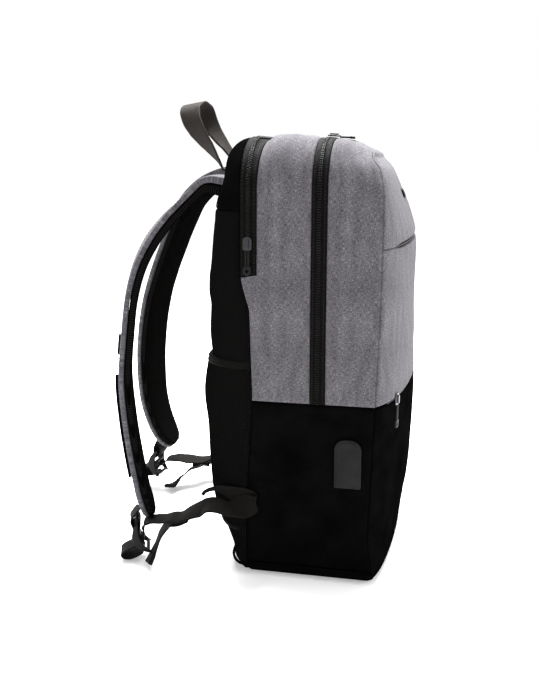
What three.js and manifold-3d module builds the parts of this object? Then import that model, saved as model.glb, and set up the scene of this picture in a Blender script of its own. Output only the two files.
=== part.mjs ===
// Laptop backpack: grey upper body, black lower body, padded mesh back and two padded shoulder straps.
// Millimetres, +Z up. The origin is on the floor below the middle of the body, the front faces -Y, and the
// back with the straps faces +Y. The left strap is on the -X side.
import * as THREE from "three";
import { mergeVertices } from "three/addons/utils/BufferGeometryUtils.js";
import Module from "manifold-3d";

const wasm = await Module();
wasm.setup();

// Body
const bodyHeight = 453;
const bodyWidth = 300;
const frontSeamDepth = 65;
const backSeamDepth = 74;
const frontBulge = 28;
const backBulge = 58;
const topCornerRadius = 52;
const baseCornerRadius = 13;
const frontShoulder = 45;
const backShoulder = 45;
const frontTopRounding = 16;
const backTopRounding = 25;
const baseRounding = 14;
const farCornerSlump = 18;
const slumpLow = 0.74;
const slumpRise = 0.2;
const clothWall = 2.4;
const backPadding = 10;
const spineRecess = 8;
const spineHalfWidth = 104;
const seamGap = 0.3;
const frontDomeShare = 0.7;
const backDomeShare = 0.12;
const backRimShare = 0.5;

// Colour boundary, pockets and zips
const blackHeight = 190.5;
const basePanelHeight = 14;
const slitHeight = 345;
const slitOpening = 4.6;
const slitHalfLength = 128;
const slitTaper = 36;
const lowerSlitOpening = 2.4;
const zipTapeWidth = 15;
const zipTapeWall = 1.2;
const mainZipOffset = -4;
const zipCoilWidth = 4;
const zipCoilRise = 1.1;
const laptopZipWidth = 16.5;
const laptopZipLow = 316;
const yokeLow = 380;
const pocketTop = 231;
const pocketBottom = 48;
const pocketWall = 2;
const pocketHemHeight = 9;
const pocketHemRise = 1.2;
const pocketSlack = 5.5;

// Small parts on the body
const badgeWidth = 26;
const badgeHeight = 9;
const badgeRise = 1.4;
const badgeLow = 388;
const flapWidth = 27;
const flapHeight = 51;
const flapRise = 4;
const flapLow = 106;
const flapSetback = 9;
const sliderLength = 13;
const sliderWidth = 9;
const sliderRise = 3;
const pullLength = 24;
const pullWidth = 8;
const pullRise = 2.4;
const mainPullLength = 15;
const mainSliderAside = 0.2 * bodyWidth;
const laptopSliderHigh = 342;
const lowerSliderAside = 0.36 * bodyWidth;
const pipingLow = 8;
const pipingWidth = 3.2;
const pipingRise = 1.5;

// Shoulder straps
const strapWidth = 62;
const coverThickness = 6;
const padThickness = 8.4;
const strapEdgeRounding = 1.6;
const strapRootHeight = 403;
const strapRootSpacing = 124;
const strapPocketWidth = 48;
const strapPocketRise = 3;
const strapPullWidth = 7;

// Handle, of one turned band
const handleWidth = 26;
const handleThickness = 2.4;
const handleSpacing = 70;
const handleRise = 86;
const handleLean = 58;
const handleRootHeight = 402;
const handleTilt = 0.17;

// Webbing, ladder locks and the wings that anchor them at the sides
const webbingWidth = 25;
const webbingThickness = 1.8;
const webbingPlyGap = 1;
const tailSag = 0.45;
const lockWidth = 33;
const lockLength = 34;
const lockThickness = 3.6;
const lockBar = 3.4;
const lockBow = 5;
const lockCorner = 3;
const slotShare = 0.23;
const barClearance = 1.2;
const lockClearance = 0.3;
const wingHeight = 80;
const wingLength = 45;
const wingBulge = 16;
const foldedEndThickness = 4.4;
const tailFoldedRows = 3;

// Share of the body's height against share of its half width
const bodyWidths = [
  { height: 0, width: 0.94 },
  { height: 0.06, width: 0.965 },
  { height: 0.3, width: 0.99 },
  { height: 0.6, width: 1 },
  { height: 0.85, width: 0.985 },
  { height: 1, width: 0.97 },
];

// Share of the way from the front seam to the back seam against the top's share of the body's height
const topLine = [
  { way: 0, height: 0.961 },
  { way: 0.12, height: 0.975 },
  { way: 0.26, height: 0.989 },
  { way: 0.44, height: 0.992 },
  { way: 0.65, height: 1 },
  { way: 0.78, height: 0.997 },
  { way: 0.87, height: 0.984 },
  { way: 0.96, height: 0.995 },
  { way: 1, height: 0.993 },
];

// Share of the body's height against share of the front seam's depth
const frontSeamLine = [
  { height: 0, depth: 0.93 },
  { height: 0.025, depth: 0.93 },
  { height: 0.12, depth: 0.87 },
  { height: 0.23, depth: 0.895 },
  { height: 0.43, depth: 0.945 },
  { height: 0.66, depth: 0.99 },
  { height: 0.84, depth: 1 },
  { height: 0.885, depth: 0.985 },
  { height: 0.92, depth: 0.94 },
  { height: 0.95, depth: 0.8 },
];

// Share of the body's height against share of the back seam's depth
const backSeamLine = [
  { height: 0, depth: 0.95 },
  { height: 0.14, depth: 0.93 },
  { height: 0.24, depth: 0.905 },
  { height: 0.33, depth: 0.865 },
  { height: 0.42, depth: 0.84 },
  { height: 0.54, depth: 0.86 },
  { height: 0.62, depth: 0.875 },
  { height: 0.66, depth: 0.94 },
  { height: 0.7, depth: 0.99 },
  { height: 1, depth: 1 },
];

// Share of the body's height against share of the front's bulge
const frontFullness = [
  { height: 0, fullness: 0.42 },
  { height: 0.055, fullness: 0.56 },
  { height: 0.11, fullness: 0.81 },
  { height: 0.165, fullness: 0.93 },
  { height: 0.33, fullness: 0.99 },
  { height: 0.44, fullness: 0.93 },
  { height: 0.57, fullness: 0.775 },
  { height: 0.77, fullness: 0.7 },
  { height: 0.83, fullness: 0.565 },
  { height: 0.88, fullness: 0.375 },
  { height: 0.95, fullness: 0.195 },
];

// Share of the body's height against share of the padded back's bulge
const backFullness = [
  { height: 0, fullness: 0.44 },
  { height: 0.045, fullness: 0.44 },
  { height: 0.09, fullness: 0.55 },
  { height: 0.155, fullness: 0.76 },
  { height: 0.245, fullness: 0.87 },
  { height: 0.33, fullness: 0.945 },
  { height: 0.42, fullness: 0.97 },
  { height: 0.5, fullness: 0.935 },
  { height: 0.56, fullness: 0.976 },
  { height: 0.63, fullness: 0.91 },
  { height: 0.71, fullness: 0.735 },
  { height: 0.78, fullness: 0.7 },
  { height: 0.85, fullness: 0.62 },
  { height: 0.91, fullness: 0.47 },
  { height: 0.96, fullness: 0.45 },
  { height: 1, fullness: 0.5 },
];

// Share of the back pocket's height against share of its slack in front of the padding
const pocketLooseness = [
  { height: 0, slack: 0.03 },
  { height: 0.3, slack: 0.3 },
  { height: 0.55, slack: 0.35 },
  { height: 0.77, slack: 1 },
  { height: 0.92, slack: 0.65 },
  { height: 1, slack: 0.06 },
];

// Route of each strap from the back: shares of its sideways spread, its reach behind the back and its drop.
// The lock hangs past the strap's end, and the webbing runs from it to the wing on the same side.
const straps = {
  left: {
    side: -1,
    spread: 63,
    reach: 114,
    drop: 354,
    turn: 20,
    lock: { aside: 5, out: 7, down: 20.5, lean: 24, turn: 20 },
    arch: 20,
    bow: 0,
    loopLength: 28.5,
    loopAside: -3,
    route: [
      { out: -0.046, aside: 0, down: 0.013, turn: 0, width: 1, thickness: 1.5 },
      { out: 0.197, aside: 0, down: 0.002, turn: 0.1, width: 1, thickness: 1.25 },
      { out: 0.346, aside: 0.016, down: 0.032, turn: 0.4, width: 1, thickness: 1.05 },
      { out: 0.495, aside: 0.05, down: 0.071, turn: 0.7, width: 1, thickness: 1 },
      { out: 0.631, aside: 0.08, down: 0.111, turn: 0.9, width: 1, thickness: 1 },
      { out: 0.786, aside: 0.14, down: 0.175, turn: 1, width: 1, thickness: 1 },
      { out: 0.899, aside: 0.22, down: 0.251, turn: 1, width: 1, thickness: 1 },
      { out: 0.965, aside: 0.3, down: 0.338, turn: 1, width: 1, thickness: 1 },
      { out: 0.993, aside: 0.43, down: 0.459, turn: 1, width: 1, thickness: 1 },
      { out: 1, aside: 0.56, down: 0.581, turn: 1, width: 1, thickness: 1 },
      { out: 0.947, aside: 0.7, down: 0.7, turn: 1, width: 0.95, thickness: 1 },
      { out: 0.868, aside: 0.825, down: 0.821, turn: 1, width: 0.87, thickness: 1 },
      { out: 0.777, aside: 0.94, down: 0.929, turn: 1, width: 0.78, thickness: 1 },
      { out: 0.737, aside: 0.97, down: 0.966, turn: 1, width: 0.7, thickness: 0.97 },
      { out: 0.712, aside: 0.99, down: 0.989, turn: 1, width: 0.55, thickness: 0.9 },
      { out: 0.7, aside: 1, down: 1, turn: 1, width: 0.3, thickness: 0.75 },
    ],
    webbing: [
      { way: 0.213, rise: 0.135, bow: 0, turn: 76 },
      { way: 0.379, rise: 0.22, bow: 0, turn: 88 },
      { way: 0.51, rise: 0.435, bow: 0, turn: 90 },
      { way: 0.638, rise: 0.61, bow: 0, turn: 94 },
      { way: 0.806, rise: 0.87, bow: 0, turn: 96 },
      { way: 0.95, rise: 0.95, bow: 0, turn: 95 },
      { way: 0.985, rise: 0.55, bow: 0, turn: 92 },
      { way: 0.985, rise: 0.15, bow: 0, turn: 90 },
    ],
    tailLength: 58,
    tailLeaves: 4,
    tail: [
      { out: 0.155, aside: 0.02, down: 0.13, turn: 90 },
      { out: 0.24, aside: 0.03, down: 0.26, turn: 90 },
      { out: 0.32, aside: 0.05, down: 0.485, turn: 90 },
      { out: 0.375, aside: 0.09, down: 0.63, turn: 90 },
      { out: 0.41, aside: 0.13, down: 0.72, turn: 90 },
      { out: 0.44, aside: 0.17, down: 0.79, turn: 90 },
    ],
  },
  right: {
    side: 1,
    spread: 17,
    reach: 147,
    drop: 340,
    turn: 5,
    lock: { aside: 0, out: 19, down: 26, lean: 2, turn: 5 },
    arch: 19,
    bow: 8,
    loopLength: 22.5,
    loopAside: -2,
    route: [
      { out: -0.037, aside: 0, down: -0.012, turn: 0, width: 1, thickness: 1.6 },
      { out: 0.191, aside: 0, down: -0.018, turn: 0.1, width: 1, thickness: 1.55 },
      { out: 0.354, aside: 0, down: 0, turn: 0.3, width: 1, thickness: 1.4 },
      { out: 0.457, aside: 0.02, down: 0.026, turn: 0.6, width: 1, thickness: 1.25 },
      { out: 0.575, aside: 0.06, down: 0.078, turn: 0.8, width: 1, thickness: 1.1 },
      { out: 0.662, aside: 0.12, down: 0.149, turn: 1, width: 1, thickness: 1 },
      { out: 0.753, aside: 0.24, down: 0.236, turn: 1, width: 1, thickness: 1 },
      { out: 0.842, aside: 0.35, down: 0.33, turn: 1, width: 1, thickness: 1 },
      { out: 0.925, aside: 0.47, down: 0.441, turn: 1, width: 1, thickness: 1 },
      { out: 0.984, aside: 0.59, down: 0.595, turn: 1, width: 1, thickness: 1 },
      { out: 0.997, aside: 0.7, down: 0.727, turn: 1, width: 0.97, thickness: 1 },
      { out: 0.981, aside: 0.78, down: 0.825, turn: 1, width: 0.9, thickness: 1 },
      { out: 0.93, aside: 0.85, down: 0.911, turn: 1, width: 0.82, thickness: 1 },
      { out: 0.876, aside: 0.92, down: 0.962, turn: 1, width: 0.72, thickness: 1 },
      { out: 0.836, aside: 0.97, down: 0.988, turn: 1, width: 0.55, thickness: 0.9 },
      { out: 0.814, aside: 1, down: 1, turn: 1, width: 0.3, thickness: 0.75 },
    ],
    webbing: [
      { way: 0.12, rise: -0.25, bow: 0.5, turn: 70 },
      { way: 0.283, rise: -0.7, bow: 1, turn: 80 },
      { way: 0.462, rise: -1, bow: 1, turn: 86 },
      { way: 0.611, rise: -0.85, bow: 0.75, turn: 88 },
      { way: 0.745, rise: -0.3, bow: 0, turn: 90 },
      { way: 0.827, rise: 0.05, bow: -0.25, turn: 90 },
      { way: 0.917, rise: 0.24, bow: -0.3, turn: 90 },
    ],
    tailLength: 58,
    tailLeaves: 5,
    tail: [
      { out: 0.08, aside: -0.2, down: 0, turn: 86 },
      { out: 0.23, aside: -0.36, down: 0.05, turn: 88 },
      { out: 0.38, aside: -0.52, down: 0.17, turn: 90 },
      { out: 0.47, aside: -0.66, down: 0.25, turn: 90 },
      { out: 0.53, aside: -0.75, down: 0.285, turn: 90 },
      { out: 0.59, aside: -0.83, down: 0.305, turn: 90 },
    ],
  },
};

// Short webbing from the strap round the lock's top bar: shares of the lock's length along it, and of the
// clearance that the webbing keeps to its middle
const topBarRoute = [
  { down: -0.64, off: 1 },
  { down: -0.47, off: 1.05 },
  { down: -0.33, off: 0.7 },
  { down: -0.23, off: -0.1 },
  { down: -0.33, off: -0.95 },
  { down: -0.5, off: -1.05 },
  { down: -0.68, off: -0.95 },
];

// Levels along the lock's length where its outline has corners, so that it can bow
const lockLevels = [0.09, 0.3, 0.5, 0.7, 0.91];

// Loop of webbing that stands out behind the lock: shares of its length and of the lock's length
const loopRoute = [
  { off: 0, down: 0.23 },
  { off: 0.31, down: 0.19 },
  { off: 0.68, down: 0.19 },
  { off: 0.95, down: 0.25 },
  { off: 1, down: 0.37 },
  { off: 0.85, down: 0.48 },
  { off: 0.58, down: 0.5 },
  { off: 0.33, down: 0.48 },
  { off: 0.21, down: 0.46 },
];

// Band of the wing from its inner end round the fold to its outer end: shares of its length, its bulge and its
// height, and of the webbing's width
const wingRoute = [
  { along: 1.06, out: 0.075, up: 0.08, turn: 10, width: 0.16 },
  { along: 0.97, out: 0.075, up: 0.132, turn: 0, width: 0.16 },
  { along: 0.77, out: 0.075, up: 0.175, turn: 0, width: 0.2 },
  { along: 0.48, out: 0.075, up: 0.162, turn: 0, width: 0.42 },
  { along: 0.15, out: 0.075, up: 0.097, turn: 0, width: 0.85 },
  { along: -0.06, out: 0.075, up: 0.058, turn: 0, width: 0.92 },
  { along: -0.17, out: 0.1, up: 0.042, turn: 0, width: 0.8 },
  { along: -0.21, out: 0.18, up: 0.035, turn: 0, width: 0.75 },
  { along: -0.15, out: 0.29, up: 0.022, turn: 8, width: 0.85 },
  { along: 0.05, out: 0.55, up: 0, turn: 44, width: 1 },
  { along: 0.3, out: 1, up: -0.015, turn: 82, width: 1 },
  { along: 0.55, out: 1.06, up: 0.02, turn: 80, width: 1 },
  { along: 0.77, out: 0.9, up: 0.012, turn: 76, width: 1 },
  { along: 1, out: 0.55, up: -0.06, turn: 62, width: 1 },
];

// Handle from its middle to one end: shares of half its spacing, its lean and its rise, and its quarter turn
const handleRoute = [
  { aside: 0, back: 1, up: 1, leftTurn: 1, rightTurn: 1 },
  { aside: 0.4, back: 1, up: 0.968, leftTurn: 0.92, rightTurn: 0.85 },
  { aside: 0.71, back: 0.975, up: 0.9, leftTurn: 0.76, rightTurn: 0.6 },
  { aside: 0.94, back: 0.895, up: 0.773, leftTurn: 0.67, rightTurn: 0.4 },
  { aside: 1, back: 0.8, up: 0.662, leftTurn: 0.63, rightTurn: 0.28 },
  { aside: 1, back: 0.666, up: 0.538, leftTurn: 0.52, rightTurn: 0.2 },
  { aside: 1, back: 0.561, up: 0.452, leftTurn: 0.42, rightTurn: 0.1 },
  { aside: 1, back: 0.39, up: 0.292, leftTurn: 0.22, rightTurn: 0 },
  { aside: 1, back: 0.28, up: 0.18, leftTurn: 0.16, rightTurn: 0 },
  { aside: 1, back: 0.13, up: 0.165, leftTurn: 0.1, rightTurn: 0 },
  { aside: 1, back: -0.06, up: 0.17, leftTurn: 0.1, rightTurn: 0 },
];

// Value of a column at a place along a table's first column, on a straight line between its rows
function lookup(table, key, column, place) {
  const last = table.length - 1;
  if (place <= table[0][key]) return table[0][column];
  if (place >= table[last][key]) return table[last][column];
  const next = table.findIndex((row) => row[key] > place);
  const before = table[next - 1];
  const after = table[next];
  const share = (place - before[key]) / (after[key] - before[key]);
  return before[column] + share * (after[column] - before[column]);
}

function quarterRound(share) {
  const inside = Math.min(Math.max(share, 0), 1);
  return Math.sqrt(1 - (1 - inside) ** 2);
}

function smoothStep(share) {
  const inside = Math.min(Math.max(share, 0), 1);
  return inside * inside * (3 - 2 * inside);
}

function mix(from, to, share) {
  return from + (to - from) * share;
}

// Closed mesh from a list of points and a list of triangles, turned so that its faces point out
function closedMesh(points, triangles) {
  const volume = triangles.reduce((sum, [a, b, c]) => {
    const cross = new THREE.Vector3().crossVectors(points[b], points[c]);
    return sum + points[a].dot(cross);
  }, 0);
  const turned = volume < 0 ? triangles.map(([a, b, c]) => [a, c, b]) : triangles;
  const geometry = new THREE.BufferGeometry();
  const coordinates = points.flatMap((point) => [point.x, point.y, point.z]);
  geometry.setAttribute("position", new THREE.Float32BufferAttribute(coordinates, 3));
  geometry.setIndex(turned.flat());
  return geometry;
}

function solidOf(geometry) {
  const bare = geometry.clone();
  bare.deleteAttribute("normal");
  bare.deleteAttribute("uv");
  const merged = mergeVertices(bare, 1e-4);
  const mesh = new wasm.Mesh({
    numProp: 3,
    vertProperties: new Float32Array(merged.attributes.position.array),
    triVerts: new Uint32Array(merged.index.array),
  });
  return new wasm.Manifold(mesh);
}

function geometryOf(solid) {
  const mesh = solid.getMesh();
  const geometry = new THREE.BufferGeometry();
  geometry.setAttribute("position", new THREE.Float32BufferAttribute(mesh.vertProperties, 3));
  geometry.setIndex(Array.from(mesh.triVerts));
  return geometry;
}

// Box between two corners, for cutting
function block(low, high) {
  const size = high.map((value, axis) => value - low[axis]);
  const box = new THREE.BoxGeometry(...size);
  box.translate(...low.map((value, axis) => value + size[axis] / 2));
  return solidOf(box);
}

const reach = 2 * bodyHeight;

// Everything between two heights, or between two depths
function layer(low, high) {
  return block([-reach, -reach, low], [reach, reach, high]);
}

function slice(front, back) {
  return block([-reach, front, -reach], [reach, back, reach]);
}

// Form of the body
function halfWidthAt(z) {
  return (bodyWidth / 2) * lookup(bodyWidths, "height", "width", z / bodyHeight);
}

function topHeightAt(way) {
  return bodyHeight * lookup(topLine, "way", "height", way);
}

// The corner on the far side has sagged back a little towards the top
function frontSeamAt(x, z) {
  const depth = frontSeamDepth * lookup(frontSeamLine, "height", "depth", z / bodyHeight);
  const sagShare = smoothStep((z / bodyHeight - slumpLow) / slumpRise);
  return -depth + farCornerSlump * sagShare * (0.5 + x / bodyWidth);
}

function backSeamAt(z) {
  return backSeamDepth * lookup(backSeamLine, "height", "depth", z / bodyHeight);
}

function seamAt(x, z, way) {
  return mix(frontSeamAt(x, z), backSeamAt(z), way);
}

const bottomSteps = 2;
const baseCornerSteps = 2;
const sideSteps = 9;
const topCornerSteps = 4;
const topSteps = 4;

// Half of the body's outline at one place between the seams, from the middle of the bottom to the middle
// of the top, moved inwards by an inset
function halfOutline(way, inset) {
  const top = topHeightAt(way) - inset;
  const bottom = inset;
  const baseRadius = Math.max(baseCornerRadius - inset, 1);
  const topRadius = topCornerRadius - inset;
  const baseHalf = halfWidthAt(baseCornerRadius) - inset;
  const topHalf = halfWidthAt(top - topRadius) - inset;
  const points = [];
  for (let step = 0; step < bottomSteps / 2; step += 1) {
    points.push([((baseHalf - baseRadius) * step * 2) / bottomSteps, bottom]);
  }
  for (let step = 0; step < baseCornerSteps; step += 1) {
    const angle = ((step / baseCornerSteps) * Math.PI) / 2;
    points.push([
      baseHalf - baseRadius + baseRadius * Math.sin(angle),
      bottom + baseRadius - baseRadius * Math.cos(angle),
    ]);
  }
  for (let step = 0; step < sideSteps; step += 1) {
    const z = mix(bottom + baseRadius, top - topRadius, step / sideSteps);
    points.push([halfWidthAt(z) - inset, z]);
  }
  for (let step = 0; step < topCornerSteps; step += 1) {
    const angle = ((step / topCornerSteps) * Math.PI) / 2;
    points.push([
      topHalf - topRadius + topRadius * Math.cos(angle),
      top - topRadius + topRadius * Math.sin(angle),
    ]);
  }
  for (let step = 0; step <= topSteps / 2; step += 1) {
    points.push([(topHalf - topRadius) * (1 - (step * 2) / topSteps), top]);
  }
  return points;
}

// Whole outline as points with x, the seam's depth and z
function outline(way, inset) {
  const half = halfOutline(way, inset);
  const whole = [...half, ...half.slice(1, -1).reverse().map(([x, z]) => [-x, z])];
  return whole.map(([x, z]) => new THREE.Vector3(x, seamAt(x, z, way), z));
}

const gussetWays = [0, 0.15, 0.4, 0.65, 0.78, 0.88, 1];
const capShares = [1, 0.975, 0.91, 0.8, 0.6, 0.3];

// Bulge of a cap over its seam, at a point inside the outline
function bulgeAt(side, fullness, x, z) {
  const isFront = side === "front";
  const top = topHeightAt(isFront ? 0 : 1);
  const shoulder = isFront ? frontShoulder : backShoulder;
  const dome = isFront ? frontDomeShare : backDomeShare;
  const topRounding = isFront ? frontTopRounding : backTopRounding;
  const half = outlineHalfAt(top, z);
  const across = half > 0 ? Math.min(Math.abs(x) / half, 1) : 1;
  const sideForm = (1 - dome) * quarterRound((half - Math.abs(x)) / shoulder) + dome * (1 - across ** 2);
  return fullness(x, z) * sideForm * quarterRound((top - z) / topRounding) * quarterRound(z / baseRounding);
}

// Half width of the outline under a top height, with its round corners
function outlineHalfAt(top, z) {
  const overTop = Math.min(Math.max((z - top + topCornerRadius) / topCornerRadius, 0), 1);
  const underBase = Math.min(Math.max((baseCornerRadius - z) / baseCornerRadius, 0), 1);
  const topCut = topCornerRadius * (1 - Math.sqrt(1 - overTop ** 2));
  const baseCut = baseCornerRadius * (1 - Math.sqrt(1 - underBase ** 2));
  return halfWidthAt(Math.min(z, top - topCornerRadius)) - topCut - baseCut;
}

function frontFullnessAt(x, z) {
  return frontBulge * lookup(frontFullness, "height", "fullness", z / bodyHeight);
}

function backFullnessAt(x, z) {
  const share = z / bodyHeight;
  const bulge = backBulge * lookup(backFullness, "height", "fullness", share);
  const alongSpine = smoothStep((share - 0.06) / 0.06) * smoothStep((0.83 - share) / 0.05);
  const acrossSpine = smoothStep((spineHalfWidth - Math.abs(x)) / (spineHalfWidth / 7));
  return bulge - spineRecess * alongSpine * acrossSpine;
}

// The back pocket lies over the padding, and stands off it by its own thickness and its slack
function pocketFullnessAt(x, z) {
  const bulge = backBulge * lookup(backFullness, "height", "fullness", z / bodyHeight);
  const share = (z - pocketBottom) / (pocketTop - pocketBottom);
  const slack = pocketSlack * lookup(pocketLooseness, "height", "slack", share);
  return bulge + pocketWall + seamGap + slack;
}

// Rings of a cap's surface from its seam to its middle
function capRings(side, fullness) {
  const way = side === "front" ? 0 : 1;
  const outward = side === "front" ? -1 : 1;
  const edge = outline(way, 0);
  const centreZ = topHeightAt(way) / 2;
  return capShares.map((share) =>
    edge.map((point) => {
      const x = point.x * share;
      const z = mix(centreZ, point.z, share);
      const bulge = share === 1 ? 0 : bulgeAt(side, fullness, x, z);
      return new THREE.Vector3(x, seamAt(x, z, way) + outward * (bulge + seamGap), z);
    }),
  );
}

// Directions into the body at each point of the rings; along the seam they stay in the plane of the outline
function inwardDirections(side, rings) {
  const way = side === "front" ? 0 : 1;
  const inside = outline(way, 1);
  const outside = outline(way, 0);
  const inward = side === "front" ? 1 : -1;
  return rings.map((ring, level) =>
    ring.map((point, step) => {
      if (level === 0) return new THREE.Vector3().subVectors(inside[step], outside[step]).setY(0);
      const next = ring[(step + 1) % ring.length];
      const before = ring[(step + ring.length - 1) % ring.length];
      const around = new THREE.Vector3().subVectors(next, before);
      const innerRing = rings[Math.min(level + 1, rings.length - 1)];
      const inwards = new THREE.Vector3().subVectors(innerRing[step], rings[level - 1][step]);
      const normal = around.cross(inwards).normalize();
      return normal.y * inward < 0 ? normal.negate() : normal;
    }),
  );
}

// Rings and middle of the surface that lies an inset inside a cap
function capLayer(side, fullness, inset) {
  const rings = capRings(side, fullness);
  const directions = inwardDirections(side, rings);
  const rimShare = side === "front" ? 1 : backRimShare;
  const moved = rings.map((ring, level) => {
    const share = mix(rimShare, 1, quarterRound((1 - capShares[level]) / 0.2));
    return ring.map((point, step) => point.clone().addScaledVector(directions[level][step], inset * share));
  });
  const way = side === "front" ? 0 : 1;
  const outward = side === "front" ? -1 : 1;
  const z = topHeightAt(way) / 2;
  const bulge = bulgeAt(side, fullness, 0, z) + seamGap - inset;
  return { rings: moved, middle: new THREE.Vector3(0, seamAt(0, z, way) + outward * bulge, z) };
}

// Two triangles of a quad, split along its shorter diagonal, so that nested layers are split alike
function splitQuad(points, a, b, c, d) {
  const acrossFirst = points[a].distanceTo(points[c]);
  const acrossSecond = points[b].distanceTo(points[d]);
  return acrossFirst < acrossSecond ? [[a, b, c], [a, c, d]] : [[a, b, d], [b, c, d]];
}

// Closed skin over a stack of rings that is closed with a point at each end, or joined end to end
function skin(rings, firstPoint, lastPoint) {
  const count = rings[0].length;
  const points = rings.flat();
  const triangles = [];
  const joined = !firstPoint;
  const pairs = joined ? rings.length : rings.length - 1;
  for (let ring = 0; ring < pairs; ring += 1) {
    const here = ring * count;
    const there = ((ring + 1) % rings.length) * count;
    for (let step = 0; step < count; step += 1) {
      const next = (step + 1) % count;
      triangles.push(...splitQuad(points, here + step, here + next, there + next, there + step));
    }
  }
  if (!joined) {
    const first = points.push(firstPoint) - 1;
    const last = points.push(lastPoint) - 1;
    const end = (rings.length - 1) * count;
    for (let step = 0; step < count; step += 1) {
      const next = (step + 1) % count;
      triangles.push([first, next, step]);
      triangles.push([last, end + step, end + next]);
    }
  }
  return closedMesh(points, triangles);
}

// Shell of a cap between two insets from the same surface
function capShell(side, fullness, outerInset, innerInset) {
  const outer = capLayer(side, fullness, outerInset);
  const inner = capLayer(side, fullness, innerInset);
  return solidOf(skin([...outer.rings.reverse(), ...inner.rings], outer.middle, inner.middle));
}

// Solid from the middle of the body out to the surface an inset inside a cap
function capSolid(side, fullness, inset) {
  const { rings, middle } = capLayer(side, fullness, inset);
  const flat = rings[0].map((point) => new THREE.Vector3(point.x, 0, point.z));
  return solidOf(skin([flat, ...rings], middle.clone().setY(0), middle));
}

function gussetShell() {
  const outer = gussetWays.map((way) => outline(way, 0));
  const inner = gussetWays.map((way, index) =>
    outline(way, clothWall).map((point, step) => new THREE.Vector3(point.x, outer[index][step].y, point.z)),
  );
  return solidOf(skin([...outer, ...inner.reverse()]));
}

// The whole body as one solid, grown by a distance
function bodySolid(grow) {
  const front = capLayer("front", frontFullnessAt, -grow);
  const back = capLayer("back", envelopeFullnessAt, -grow);
  const sides = gussetWays.map((way) => outline(way, -grow));
  const rings = [...front.rings.slice(1).reverse(), ...sides, ...back.rings.slice(1)];
  return solidOf(skin(rings, front.middle, back.middle));
}

function envelopeFullnessAt(x, z) {
  const overPocket = z > pocketBottom && z < pocketTop;
  return overPocket ? pocketFullnessAt(x, z) : backFullnessAt(x, z);
}

// Sweep of a convex section along stations; a station holds a centre, the direction of the section's width,
// and its width and thickness. Its quads split the same way seen from either side, so that two layers fit.
function sweep(stations, section, stepsBetween, firstStep = 0, lastStep = Infinity) {
  const curve = new THREE.CatmullRomCurve3(stations.map((station) => station.at), false, "centripetal");
  const spans = stations.length - 1;
  const steps = spans * stepsBetween;
  const points = [];
  const last = Math.min(lastStep, steps);
  for (let step = firstStep; step <= last; step += 1) {
    const along = (step / steps) * spans;
    const index = Math.min(Math.floor(along), spans - 1);
    const here = stations[index];
    const next = stations[index + 1];
    const share = along - index;
    const centre = curve.getPoint(step / steps);
    const tangent = curve.getTangent(step / steps);
    const across = here.across.clone().lerp(next.across, share);
    across.addScaledVector(tangent, -across.dot(tangent)).normalize();
    const through = new THREE.Vector3().crossVectors(across, tangent);
    const width = mix(here.width, next.width, share);
    const thickness = mix(here.thickness, next.thickness, share);
    for (const [u, v] of section) {
      const point = centre.clone().addScaledVector(across, u * width);
      points.push(point.addScaledVector(through, v * thickness));
    }
  }
  const count = section.length;
  const triangles = [];
  for (let step = 0; step < last - firstStep; step += 1) {
    for (let corner = 0; corner < count; corner += 1) {
      const next = (corner + 1) % count;
      const here = step * count + corner;
      const beside = step * count + next;
      if (section[next][0] > section[corner][0]) {
        triangles.push([here, beside, here + count], [beside, beside + count, here + count]);
      } else {
        triangles.push([here, beside, beside + count], [here, beside + count, here + count]);
      }
    }
  }
  const end = (last - firstStep) * count;
  for (let corner = 1; corner < count - 1; corner += 1) {
    triangles.push([0, corner + 1, corner]);
    triangles.push([end, end + corner, end + corner + 1]);
  }
  return closedMesh(points, triangles);
}

const flatSection = [[-0.5, -0.5], [0.5, -0.5], [0.5, 0.5], [-0.5, 0.5]];

function vector(x, y, z) {
  return new THREE.Vector3(x, y, z);
}

// Depth of the outer surface of the back at a place
function backSurfaceAt(x, z) {
  return backSeamAt(z) + seamGap + bulgeAt("back", envelopeFullnessAt, x, z);
}

const group = new THREE.Group();
const finishes = {
  greyCloth: { color: 0x6f6c72, roughness: 0.9 },
  blackCloth: { color: 0x0c0c0d, roughness: 0.85 },
  mesh: { color: 0x141414, roughness: 0.95 },
  webbing: { color: 0x1b1918, roughness: 0.8 },
  zip: { color: 0x101011, roughness: 0.6 },
  plastic: { color: 0x18181a, roughness: 0.45 },
  rubber: { color: 0x0e0e0f, roughness: 0.6 },
  metal: { color: 0x8c8d90, roughness: 0.3, metalness: 1 },
};

function addPiece(name, shape, finish) {
  const geometry = shape instanceof THREE.BufferGeometry ? shape : geometryOf(shape);
  const mesh = new THREE.Mesh(geometry, new THREE.MeshStandardMaterial(finishes[finish]));
  mesh.name = name;
  group.add(mesh);
}

const envelope = bodySolid(seamGap);
const frontShell = capShell("front", frontFullnessAt, 0, clothWall);
const gusset = gussetShell();

// The pocket's slit seen from the front: open in the middle, and a seam gap high out to the sides
function slitShape() {
  const profile = [[-bodyWidth, seamGap], [-slitHalfLength, seamGap], [slitTaper - slitHalfLength, slitOpening]];
  const left = profile.map(([x, opening]) => new THREE.Vector2(x, opening / 2));
  const upper = [...left, ...left.map(({ x, y }) => new THREE.Vector2(-x, y)).reverse()];
  return new THREE.Shape([...upper, ...upper.map(({ x, y }) => new THREE.Vector2(x, -y)).reverse()]);
}

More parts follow.
